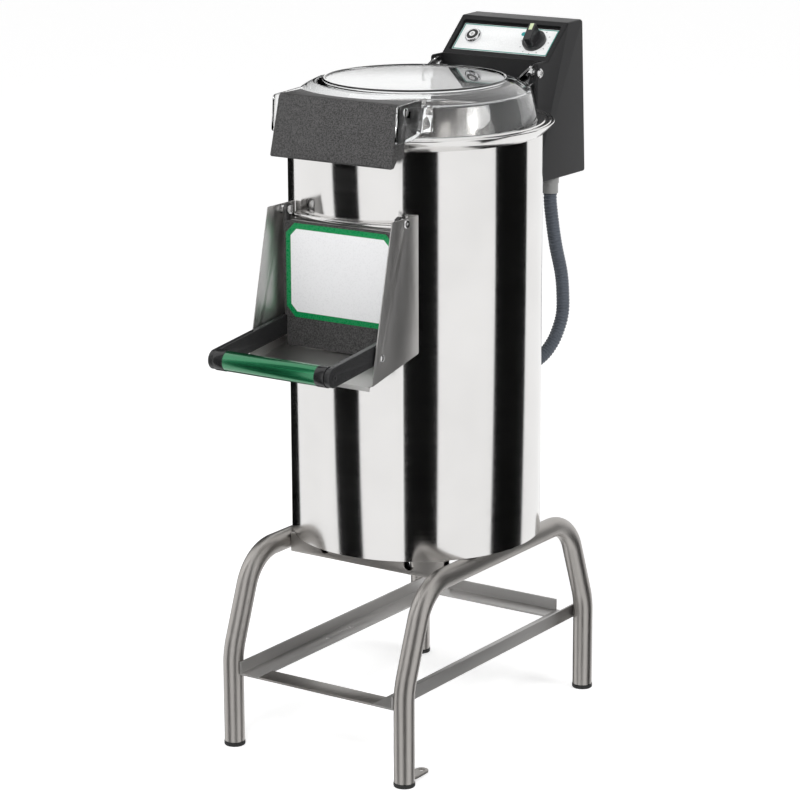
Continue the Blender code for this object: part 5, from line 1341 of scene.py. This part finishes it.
drain_flange = 0.0280
drain_wall_share = 0.7    # of the rails' sheet
drain_inner = drain_radius - rail_sheet * drain_wall_share
drain_shape = [(drain_inner, drain_low_z), (drain_radius, drain_low_z),
               (drain_radius, floor_low - gap - rail_sheet), (drain_flange, floor_low - gap - rail_sheet),
               (drain_flange, floor_low - gap), (drain_radius, floor_low - gap),
               (drain_radius, chamber_floor_z - gap),
               (drain_inner, chamber_floor_z - gap)]
add("drain_outlet", shifted(turned(drain_shape, fine_steps), *drain_at), bright_steel, machine)


# Small fittings that only the looks have
def hexagon(radius, depth, lift):
    """A six-sided socket: a prism of six corners, its mouth a little above the head."""
    corners = 6
    return turned([(0, lift - depth), (radius, lift - depth), (radius, lift + overrun), (0, lift + overrun)],
                  corners)


def socket(name, radius, depth, head_x, y, z):
    """A hex socket sunk in the head of the right-hand bolt and in its mirror image."""
    shape = along_x(hexagon(radius, depth, head_x), y, z)
    cut(made_pieces[name + "_left"][0], mirrored(shape), machine)
    cut(made_pieces[name + "_right"][0], shape, machine)


latch_key, latch_key_depth = 0.0030, 0.0012
lid_key, lid_key_depth = 0.0034, 0.0018
door_key, door_key_depth = 0.0026, 0.0014
socket("latch_screw", latch_key, latch_key_depth, ear_outer + gap + latch_screw_head, latch_y, latch_z)
socket("lid_pivot_bolt", lid_key, lid_key_depth, box_half_width + gap + lid_bolt_head, lid_pivot_y,
       lid_pivot_z)
socket("door_pivot_bolt", door_key, door_key_depth, chute_half_width + gap + pivot_bolt_head, door_pivot_y,
       door_pivot_z)

# Width of the small round edge of each piece, in metres; the others have the plain one
edge_widths = {
    "lid_shell": 0.0005, "control_box": 0.0006, "latch_handle": 0.0004, "outlet_collar": 0.0004,
    "drum_shell": 0.0003, "drum_rim": 0.0003, "door_panel": 0.0006, "door_label": 0.0001,
    "control_label": 0.0001, "timer_knob": 0.0004, "start_button": 0.0002, "button_bezel": 0.0003,
    "latch_screw_left": 0.0003, "latch_screw_right": 0.0003,
    "conduit": 0, "drive_belt": 0, "abrasive_liner": 0.0004, "abrasive_disc": 0.0008, "grip_tube": 0.0002,
}
plain_edge = 0.0004
for node, (made, finish, helpers) in made_pieces.items():
    made_final(made, helpers, edge_widths.get(node, plain_edge))


# Node helpers
def placed(tree, kind, wires=None, **settings):
    """A node with its settings; each wire is a socket that feeds an input, or the input's constant."""
    made = tree.nodes.new("ShaderNode" + kind)
    for key, value in settings.items():
        setattr(made, key, value)
    for key, value in (wires or {}).items():
        if isinstance(value, bpy.types.NodeSocket):
            tree.links.new(value, made.inputs[key])
        else:
            made.inputs[key].default_value = value
    return made


def reckoned(tree, operation, *values, clamped=False):
    """One step of arithmetic on sockets and numbers."""
    made = placed(tree, "Math", dict(enumerate(values)), operation=operation, use_clamp=clamped)
    return made.outputs[0]


def ranged(tree, value, low, high, first, last):
    """A value carried in a straight line from low..high to first..last, and held inside them."""
    made = placed(tree, "MapRange", {"Value": value, "From Min": low, "From Max": high, "To Min": first,
                                     "To Max": last})
    return made.outputs["Result"]


def mixed(tree, share, first, last):
    """A colour between two, by a share from 0 to 1."""
    made = placed(tree, "Mix", data_type="RGBA")
    for socket, value in ((made.inputs["Factor"], share), (made.inputs[6], first), (made.inputs[7], last)):
        if isinstance(value, bpy.types.NodeSocket):
            tree.links.new(value, socket)
        else:
            socket.default_value = value if isinstance(value, float) else (*value, 1)
    return made.outputs[2]


def uneven(tree, scale, low, high):
    """A value that wanders softly between two ends over the surface."""
    place = placed(tree, "TexCoord").outputs["Object"]
    return ranged(tree, placed(tree, "TexNoise", {"Vector": place, "Scale": scale}).outputs["Fac"], 0.3, 0.7,
                  low, high)


def effect(name, inputs, outputs):
    """A node group with named sockets; each input is its name, its kind and the value it starts with."""
    tree = bpy.data.node_groups.new(name, "ShaderNodeTree")
    for label, kind, value in inputs:
        tree.interface.new_socket(label, in_out="INPUT",
                                  socket_type="NodeSocket" + kind).default_value = value
    for label in outputs:
        tree.interface.new_socket(label, in_out="OUTPUT", socket_type="NodeSocketFloat")
    return tree, tree.nodes.new("NodeGroupInput").outputs, tree.nodes.new("NodeGroupOutput").inputs


# Effects that several finishes share
def drawn_grain_effect():
    """Fine lines as drawn by a brushing belt: noise squeezed along one direction, with a broad cloud over
    it."""
    tree, given, result = effect("drawn_grain", [("Squeeze", "Vector", (3, 3, 700)), ("Low", "Float", 0.2),
                                                 ("High", "Float", 0.3)], ["Roughness", "Height", "Cloud"])
    place = placed(tree, "TexCoord").outputs["Object"]
    squeezed = placed(tree, "Mapping", {"Vector": place, "Scale": given["Squeeze"]}).outputs[0]
    lines = placed(tree, "TexNoise", {"Vector": squeezed, "Scale": 1.0, "Detail": 3.0}).outputs["Fac"]
    cloud = placed(tree, "TexNoise", {"Vector": place, "Scale": 9.0, "Detail": 2.0}).outputs["Fac"]
    spread_of = placed(tree, "MapRange", {"Value": lines, "From Min": 0.3, "From Max": 0.7,
                                          "To Min": given["Low"], "To Max": given["High"]}).outputs["Result"]
    tree.links.new(spread_of, result["Roughness"])
    tree.links.new(lines, result["Height"])
    tree.links.new(ranged(tree, cloud, 0.3, 0.7, 0.0, 1.0), result["Cloud"])
    return tree


def moulded_grain_effect():
    """The spark-eroded texture of a moulding: small rounded bumps, with finer ones on them and a broad
    cloud."""
    tree, given, result = effect("moulded_grain", [("Bumps", "Float", 900), ("Low", "Float", 0.4),
                                                   ("High", "Float", 0.6)], ["Roughness", "Height", "Cloud"])
    place = placed(tree, "TexCoord").outputs["Object"]
    bumps = placed(tree, "TexNoise", {"Vector": place, "Scale": given["Bumps"], "Detail": 3.0,
                                      "Roughness": 0.6}).outputs["Fac"]
    cloud = placed(tree, "TexNoise", {"Vector": place, "Scale": 14.0, "Detail": 3.0}).outputs["Fac"]
    spread_of = placed(tree, "MapRange", {"Value": bumps, "From Min": 0.35, "From Max": 0.65,
                                          "To Min": given["Low"], "To Max": given["High"]}).outputs["Result"]
    tree.links.new(spread_of, result["Roughness"])
    tree.links.new(bumps, result["Height"])
    tree.links.new(ranged(tree, cloud, 0.3, 0.7, 0.0, 1.0), result["Cloud"])
    return tree


drawn_grain = drawn_grain_effect()
moulded_grain = moulded_grain_effect()


def paint_of(name, colour, roughness, metallic=0.0, sockets=()):
    """A material with its constants on the shader's own sockets."""
    paint = bpy.data.materials.new(name)
    paint.use_nodes = True
    shader = paint.node_tree.nodes["Principled BSDF"]
    shader.inputs["Base Color"].default_value = (*colour, 1)
    shader.inputs["Roughness"].default_value = roughness
    shader.inputs["Metallic"].default_value = metallic
    for label, value in dict(sockets).items():
        shader.inputs[label].default_value = value
    return paint, paint.node_tree, shader


def grained(tree, shader, kind, wires, light, dark, depth, relief_shaded=False):
    """Puts a grain into a finish: its roughness, its relief and a slight change of colour, either broad or as
    painted shade in the relief's hollows and painted highlight on its tops."""
    grain = placed(tree, "Group", node_tree=kind)
    for label, value in wires.items():
        grain.inputs[label].default_value = value
    tree.links.new(grain.outputs["Roughness"], shader.inputs["Roughness"])
    bump = placed(tree, "Bump", {"Height": grain.outputs["Height"], "Strength": 1.0, "Distance": depth})
    tree.links.new(bump.outputs[0], shader.inputs["Normal"])
    share = grain.outputs["Cloud"]
    # Painted shade and highlight: here the colour follows the bump height, dark in the grain's hollows and
    # light on its tops.
    if relief_shaded:
        share = ranged(tree, grain.outputs["Height"], 0.40, 0.60, 0.0, 1.0)
    tree.links.new(mixed(tree, share, dark, light), shader.inputs["Base Color"])
    return grain


def steel(name, colour, low, high, squeeze, depth, anisotropic=0.0, rotation=0.25, shade=0.94):
    """Stainless sheet or tube with its brushing lines."""
    paint, tree, shader = paint_of(name, colour, high, 1.0,
                                   {"Anisotropic": anisotropic, "Anisotropic Rotation": rotation})
    dark = tuple(part * shade for part in colour)
    grained(tree, shader, drawn_grain, {"Squeeze": squeeze, "Low": low, "High": high}, colour, dark, depth)
    if anisotropic:
        tangent = placed(tree, "Tangent", direction_type="RADIAL", axis="Z")
        tree.links.new(tangent.outputs[0], shader.inputs["Tangent"])
    return paint


def moulding(name, colour, low, high, bumps, depth, shade=0.85, relief_shaded=False, shine=0.5):
    """A moulded plastic or rubber with its fine grain; where asked, its colour carries painted shade and
    highlight of that grain.
    """
    paint, tree, shader = paint_of(name, colour, high, 0.0, {"Specular IOR Level": shine})
    dark = tuple(part * shade for part in colour)
    grained(tree, shader, moulded_grain, {"Bumps": bumps, "Low": low, "High": high}, colour, dark, depth,
            relief_shaded)
    return paint


drum_steel = steel("drum_steel", (0.82, 0.81, 0.80), 0.10, 0.16, (3, 3, 900), 0.000003, anisotropic=0.8)
sheet_steel = steel("sheet_steel", (0.64, 0.63, 0.62), 0.36, 0.44, (900, 900, 5), 0.000002)
rim_steel = steel("rim_steel", (0.82, 0.81, 0.80), 0.10, 0.18, (4, 4, 900), 0.000002)
stand_steel = steel("stand_steel", (0.46, 0.44, 0.42), 0.32, 0.42, (900, 900, 30), 0.0000025)
rail_steel = steel("rail_steel", (0.56, 0.55, 0.54), 0.44, 0.54, (900, 30, 900), 0.000002)
bolt_steel = steel("bolt_steel", (0.74, 0.74, 0.74), 0.14, 0.24, (1200, 1200, 1200), 0.0000004)
ring_metal = steel("ring_metal", (0.82, 0.82, 0.83), 0.12, 0.22, (1500, 1500, 1500), 0.0000004)
casting = moulding("casting", (0.12, 0.12, 0.125), 0.45, 0.62, 380, 0.00025)
# The box and the latch handle carry painted shade and highlight in their grain: their colour follows the bump
# relief.
box_plastic = moulding("box_plastic", (0.019, 0.019, 0.020), 0.36, 0.48, 700, 0.00004, shade=0.55,
                       relief_shaded=True, shine=0.22)
charcoal_plastic = moulding("charcoal_plastic", (0.082, 0.080, 0.080), 0.38, 0.56, 560, 0.00012, shade=0.30,
                            relief_shaded=True, shine=0.32)
arm_plastic = moulding("arm_plastic", (0.022, 0.022, 0.023), 0.26, 0.36, 1500, 0.00003)
sleeve_plastic = moulding("sleeve_plastic", (0.018, 0.018, 0.019), 0.16, 0.24, 1500, 0.00001)
foot_rubber = moulding("foot_rubber", (0.022, 0.022, 0.022), 0.62, 0.78, 700, 0.00010)
conduit_pvc = moulding("conduit_pvc", (0.100, 0.115, 0.140), 0.36, 0.48, 900, 0.00004)
gland_nylon = moulding("gland_nylon", (0.330, 0.330, 0.325), 0.38, 0.50, 900, 0.00005)
grit = moulding("grit", (0.200, 0.190, 0.175), 0.80, 0.98, 420, 0.0009, shade=0.6)

green_tube, tree, shader = paint_of("green_tube", (0.018, 0.250, 0.095), 0.22, 0.85,
                                    {"Coat Weight": 1.0, "Coat Roughness": 0.12})
grained(tree, shader, drawn_grain, {"Squeeze": (6, 700, 700), "Low": 0.20, "High": 0.30},
        (0.022, 0.245, 0.100), (0.016, 0.200, 0.082), 0.000003)

clear_lid, tree, shader = paint_of("clear_lid", (0.985, 0.990, 0.990), 0.02, 0.0,
                                   {"Transmission Weight": 1.0, "IOR": 1.49})
tree.links.new(uneven(tree, 22.0, 0.010, 0.035), shader.inputs["Roughness"])

# Door plate: a white sheet with an eight-sided green edge
sheet_white = (0.84, 0.84, 0.85)
door_print, tree, shader = paint_of("door_print", sheet_white, 0.28, 0.0,
                                    {"Coat Weight": 0.3, "Coat Roughness": 0.1})
axes = placed(tree, "SeparateXYZ", {0: placed(tree, "TexCoord").outputs["Object"]}).outputs
to_side = reckoned(tree, "SUBTRACT", label_half_width, reckoned(tree, "ABSOLUTE", axes["X"]))
to_end = reckoned(tree, "MINIMUM", reckoned(tree, "SUBTRACT", axes["Z"], label_low_z),
                  reckoned(tree, "SUBTRACT", label_high_z, axes["Z"]))
to_slant = reckoned(tree, "MULTIPLY", reckoned(tree, "SUBTRACT", reckoned(tree, "ADD", to_side, to_end),
                                               label_cut), math.sqrt(0.5))
to_edge = reckoned(tree, "MINIMUM", reckoned(tree, "MINIMUM", to_side, to_end), to_slant)
edge_green = (0.004, 0.235, 0.070)
border = 0.0082
blend = 0.0002
inside = ranged(tree, to_edge, border - blend, border + blend, 0.0, 1.0)
tree.links.new(mixed(tree, inside, edge_green, sheet_white), shader.inputs["Base Color"])
tree.links.new(uneven(tree, 500.0, 0.24, 0.34), shader.inputs["Roughness"])

# Control plate: a white sheet with a thin teal line inside its edge
panel_white = (0.92, 0.93, 0.93)
panel_print, tree, shader = paint_of("panel_print", panel_white, 0.26, 0.0,
                                     {"Coat Weight": 0.4, "Coat Roughness": 0.08})
place = placed(tree, "TexCoord").outputs["Object"]
panel_up = Vector((0, math.cos(panel_tilt), math.sin(panel_tilt)))
panel_origin = panel.translation
along = placed(tree, "VectorMath", {0: place, 1: panel_up}, operation="DOT_PRODUCT").outputs["Value"]
up = reckoned(tree, "SUBTRACT", along, panel_origin.dot(panel_up))
across_x = placed(tree, "SeparateXYZ", {0: place}).outputs["X"]
to_side = reckoned(tree, "SUBTRACT", plate_half_width, reckoned(tree, "ABSOLUTE", across_x))
to_end = reckoned(tree, "MINIMUM", reckoned(tree, "SUBTRACT", up, plate_low),
                  reckoned(tree, "SUBTRACT", plate_high, up))
to_edge = reckoned(tree, "MINIMUM", to_side, to_end)
line_teal = (0.01, 0.26, 0.21)
line_inner = 0.0023
line_outer = 0.0006
in_line = reckoned(tree, "MULTIPLY", ranged(tree, to_edge, line_outer - blend, line_outer + blend, 0.0, 1.0),
                   ranged(tree, to_edge, line_inner - blend, line_inner + blend, 1.0, 0.0))
tree.links.new(mixed(tree, in_line, panel_white, line_teal), shader.inputs["Base Color"])
tree.links.new(uneven(tree, 600.0, 0.22, 0.32), shader.inputs["Roughness"])

# Push button: a white cap with a dark ring
cap_white = (0.80, 0.80, 0.80)
cap_black = (0.012, 0.012, 0.012)
button_white, tree, shader = paint_of("button_white", cap_white, 0.3, 0.0)
button_centre = panel @ Vector((button_x, item_height, 0))
from_centre = placed(tree, "VectorMath", {0: placed(tree, "TexCoord").outputs["Object"], 1: button_centre},
                     operation="SUBTRACT").outputs["Vector"]
normal = (panel.to_3x3() @ Vector((0, 0, 1)))
height = placed(tree, "VectorMath", {0: from_centre, 1: normal}, operation="DOT_PRODUCT").outputs["Value"]
length = placed(tree, "VectorMath", {0: from_centre}, operation="LENGTH").outputs["Value"]
reach = reckoned(tree, "SQRT", reckoned(tree, "SUBTRACT", reckoned(tree, "MULTIPLY", length, length),
                                        reckoned(tree, "MULTIPLY", height, height)))
ring_low, mark_low, mark_high = 0.0047, 0.0013, 0.0022
dark_ring = ranged(tree, reach, ring_low - blend, ring_low + blend, 0.0, 1.0)
small_ring = reckoned(tree, "MULTIPLY", ranged(tree, reach, mark_low - blend, mark_low + blend, 0.0, 1.0),
                      ranged(tree, reach, mark_high - blend, mark_high + blend, 1.0, 0.0))
inked = reckoned(tree, "MAXIMUM", dark_ring, small_ring)
tree.links.new(mixed(tree, inked, cap_white, cap_black), shader.inputs["Base Color"])

finish_of = {
    brushed_steel: sheet_steel, bright_steel: bolt_steel, tube_steel: stand_steel, cast_iron: casting,
    aluminium: ring_metal, black_plastic: box_plastic, dark_plastic: charcoal_plastic, rubber: foot_rubber,
    clear_plastic: clear_lid, white_print: door_print, green_metal: green_tube, grey_pvc: conduit_pvc,
    grey_nylon: gland_nylon, abrasive: grit,
}
own_finish = {
    "drum_shell": drum_steel, "drum_rim": rim_steel, "outlet_hood": rim_steel, "control_label": panel_print,
    "start_button": button_white, "conduit_gland_box": gland_nylon, "conduit_gland_drum": gland_nylon,
    "door_arm_left": arm_plastic, "door_arm_right": arm_plastic, "grip_sleeve_left": sleeve_plastic,
    "grip_sleeve_right": sleeve_plastic, "lower_rail_left": rail_steel, "lower_rail_right": rail_steel,
    "lower_rail_rear": rail_steel, "timer_knob": arm_plastic, "chamber_floor": drum_steel,
}
for node, (made, finish, helpers) in made_pieces.items():
    paint = own_finish.get(node, finish_of[finish])
    for mesh in (made.data, frame["nodes"][node].data):
        mesh.materials.clear()
        mesh.materials.append(paint)
    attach(made, body_of[node])
    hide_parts(node)


# The conduit, a corrugated hose that goes from the box back into the drum: its centre line moved into the
# machine's place
conduit_line += np.array(machine.translation)


# Marks and small heads on the machine's face
def fitted(name, shape, place, paint, node, width=0.0002):
    """A small piece that rides with one node's body."""
    made = link(name, shape, place)
    made_final(made, [], width)
    made.data.materials.append(paint)
    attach(made, body_of[node])
    return made


def disc_at(radius, thickness, x, y, low):
    """A thin disc at a place of the panel."""
    return shifted(turned(disc_profile(radius, low, low + thickness), small_steps), x, y)


def ink(name, colour):
    """A flat ink with a slightly uneven sheen."""
    paint, tree, shader = paint_of(name, colour, 0.4)
    tree.links.new(uneven(tree, 800.0, 0.35, 0.45), shader.inputs["Roughness"])
    return paint


ink_black = ink("ink_black", (0.02, 0.02, 0.02))
ink_teal = ink("ink_teal", (0.01, 0.30, 0.30))
stripe_paint = ink("stripe_paint", (0.62, 0.72, 0.45))

ink_sheet = 0.00012
ink_lift = 0.00003
ink_low = plate_high_face + ink_lift
dot_radius, dot_x, dot_y = 0.0040, 0.0265, 0.0515
fitted("zero_dot", disc_at(dot_radius, ink_sheet, dot_x, dot_y, ink_low), panel, ink_teal, "control_label", 0)
tick_start, tick_end, tick_half = 0.0222, 0.0246, 0.0004
first_tick, last_tick, tick_turn = -60, 180, 30    # degrees
ticks = []
for turn in range(first_tick, last_tick + 1, tick_turn):
    tick = extruded([(tick_start, -tick_half), (tick_end, -tick_half), (tick_end, tick_half),
                     (tick_start, tick_half)], ink_low, ink_low + ink_sheet, "Z")
    ticks.append(moved(tick, Matrix.Translation(knob_at) @ Matrix.Rotation(math.radians(-turn), 4, "Z")))
fitted("timer_ticks", together(*ticks), panel, ink_black, "control_label", 0)
stripe_half = 0.0030
stripe_near_share, stripe_far_share = 0.18, 0.93
stripe_near, stripe_far = bar_end * stripe_near_share, bar_end * stripe_far_share
stripe_sheet, stripe_edge = 0.0003, 0.0001
knob_top = knob_mid + knob_grip_height
stripe = extruded([(-stripe_half, stripe_near), (stripe_half, stripe_near), (stripe_half, stripe_far),
                   (-stripe_half, stripe_far)], knob_top, knob_top + stripe_sheet, "Z")
fitted("knob_stripe", moved(stripe, Matrix.Translation(knob_at) @ Matrix.Rotation(knob_turn, 4, "Z")), panel,
       stripe_paint, "timer_knob", stripe_edge)

catch_radius = 0.0050
catch_head, catch_reach = 0.0010, 0.0024
catch_top_share = 0.6
catch_top = chute_half_width + catch_reach
screw_shank_radius, screw_head_radius, screw_flat_radius = 0.0022, 0.0042, 0.0030
screw_seat, screw_head, screw_top, screw_socket = 0.0006, 0.0011, 0.0014, 0.0002
for side_name, sign in (("left", -1), ("right", 1)):
    head = turned([(0, chute_half_width + gap), (catch_radius, chute_half_width + gap),
                   (catch_radius, chute_half_width + gap + catch_head),
                   (catch_radius * catch_top_share, catch_top), (0, catch_top)], small_steps)
    head = along_x(head, -catch_y, catch_z)
    fitted("door_catch_" + side_name, head if sign > 0 else mirrored(head), machine, bolt_steel,
           "chute_side_right")
    screw = turned([(0, arm_outer - screw_seat), (screw_shank_radius, arm_outer - screw_seat),
                    (screw_shank_radius, arm_outer + gap), (screw_head_radius, arm_outer + gap),
                    (screw_head_radius, arm_outer + screw_head), (screw_flat_radius, arm_outer + screw_top),
                    (screw_shank_radius, arm_outer + screw_top),
                    (screw_shank_radius, arm_outer + screw_socket),
                    (0, arm_outer + screw_socket)], small_steps)
    screw = along_x(screw, -grip_y, grip_z)
    fitted("grip_screw_" + side_name, screw if sign > 0 else mirrored(screw), machine, arm_plastic,
           "door_arm_right")

# Camera at the photograph's place
forward = Vector((-0.5424, 0.8021, -0.2499))
right = Vector((0.8289, 0.5594, -0.0038))
up_way = Vector((-0.1368, 0.2092, 0.9683))
view = bpy.data.cameras.new("camera")
view.lens = 134.02
view.sensor_width = 36
camera = bpy.data.objects.new("camera", view)
turn = Matrix((right, up_way, -forward)).transposed().to_4x4()
camera.matrix_world = Matrix.Translation((2.3715, -3.52755, 1.5917)) @ turn
bpy.context.scene.collection.objects.link(camera)
bpy.context.scene.camera = camera

# Studio: a white room for the eye and for reflections, even light, dark panels that the drum reflects
world = bpy.data.worlds.new("studio")
bpy.context.scene.world = world
world.use_nodes = True
tree = world.node_tree
background = tree.nodes["Background"]
background.inputs["Color"].default_value = (1, 1, 1, 1)
ray = placed(tree, "LightPath").outputs
seen = reckoned(tree, "MAXIMUM", ray["Is Camera Ray"],
                reckoned(tree, "MAXIMUM", ray["Is Glossy Ray"], ray["Is Transmission Ray"]))
ambient = 0.55
tree.links.new(ranged(tree, seen, 0.0, 1.0, ambient, 1.0), background.inputs["Strength"])


def studio_piece(name, shape, paint):
    """A piece of the studio, which isn't part of the object."""
    made = link(name, shape, Matrix.Identity(4))
    made.data.materials.append(paint)
    return made


floor_white = (0.86, 0.86, 0.86)
floor_glow = 0.47          # of the light that only the camera sees
floor_paint, tree, shader = paint_of("floor_paint", floor_white, 0.9)
tree.links.new(uneven(tree, 60.0, 0.85, 0.95), shader.inputs["Roughness"])
ray = placed(tree, "LightPath").outputs
shine = placed(tree, "Emission", {"Strength": ranged(tree, ray["Is Camera Ray"], 0.0, 1.0, 0.0, floor_glow)})
lit = placed(tree, "AddShader", {0: shader.outputs[0], 1: shine.outputs[0]})
clear = placed(tree, "BsdfTransparent")
passed = placed(tree, "MixShader", {0: ray["Is Glossy Ray"], 1: lit.outputs[0], 2: clear.outputs[0]})
tree.links.new(passed.outputs[0], tree.nodes["Material Output"].inputs["Surface"])
floor_half = 12.0
floor_low, floor_top = -0.02, -0.0003
floor_shape = extruded([(-floor_half, -floor_half), (floor_half, -floor_half), (floor_half, floor_half),
                        (-floor_half, floor_half)], floor_low, floor_top, "Z")
studio_piece("floor", floor_shape, floor_paint)

flag_black = (0.006, 0.006, 0.006)
flag_paint, tree, shader = paint_of("flag_paint", flag_black, 0.9)
shader.inputs["Specular IOR Level"].default_value = 0.0
flag_distance = 1.15
flag_sheet = 0.01
flag_low, flag_high = -1.2, 2.2
to_camera = math.atan2(camera.location.y - axis_y, camera.location.x)
dark_turns = ((-39.6, -26.2), (-5.6, 10.0), (38.0, 59.5), (-90.0, -70.0))
for k, turns in enumerate(dark_turns):
    edges = [to_camera + 2 * math.radians(turn)
             - math.asin(drum_radius * math.sin(math.radians(turn)) / flag_distance) for turn in turns]
    plan = arc((0, axis_y), flag_distance, math.degrees(edges[0]), math.degrees(edges[1]), small_steps)
    plan += arc((0, axis_y), flag_distance + flag_sheet, math.degrees(edges[1]), math.degrees(edges[0]),
                small_steps)
    flag = studio_piece("flag_" + str(k + 1), extruded(plan, flag_low, flag_high, "Z"), flag_paint)
    flag.visible_camera = flag.visible_diffuse = flag.visible_transmission = flag.visible_shadow = False


# A bright card that only reflections see: the white line along the grip tube
card_paint = bpy.data.materials.new("card_paint")
card_paint.use_nodes = True
tree = card_paint.node_tree
tree.nodes.remove(tree.nodes["Principled BSDF"])
card_glow = 5.0
shine = placed(tree, "Emission", {"Strength": card_glow})
tree.links.new(shine.outputs[0], tree.nodes["Material Output"].inputs["Surface"])
card_at = Vector((-1.04, -1.63, 1.71))
card_aim = Vector((0, -0.30, 0.61))
card_turn = (card_at - card_aim).to_track_quat("Z", "Y").to_matrix().to_4x4()
card_half = 0.30
card_shape = extruded([(-card_half, -card_half), (card_half, -card_half), (card_half, card_half),
                       (-card_half, card_half)], 0, flag_sheet, "Z")
card = studio_piece("grip_card", moved(card_shape, Matrix.Translation(card_at) @ card_turn), card_paint)
card.visible_camera = card.visible_diffuse = card.visible_transmission = card.visible_shadow = False


def lamp(name, place, aim, size, power):
    """A soft square lamp that shines on a place and isn't seen in reflections."""
    light = bpy.data.lights.new(name, "AREA")
    light.shape = "DISK"
    light.size = size
    light.energy = power
    made = bpy.data.objects.new(name, light)
    turn = (Vector(place) - Vector(aim)).to_track_quat("Z", "Y").to_matrix().to_4x4()
    made.matrix_world = Matrix.Translation(place) @ turn
    made.visible_glossy = False
    bpy.context.scene.collection.objects.link(made)
    return made


lamp_aim = (0, 0, 0.6)
lamp_size = 1.6
key_power, side_power = 90, 50    # watts
key_at, side_at = (1.0, -3.2, 3.2), (3.2, 0.6, 2.4)
lamp("key_lamp", key_at, lamp_aim, lamp_size, key_power)
lamp("side_lamp", side_at, lamp_aim, lamp_size, side_power)
bpy.context.scene.view_settings.view_transform = "Standard"
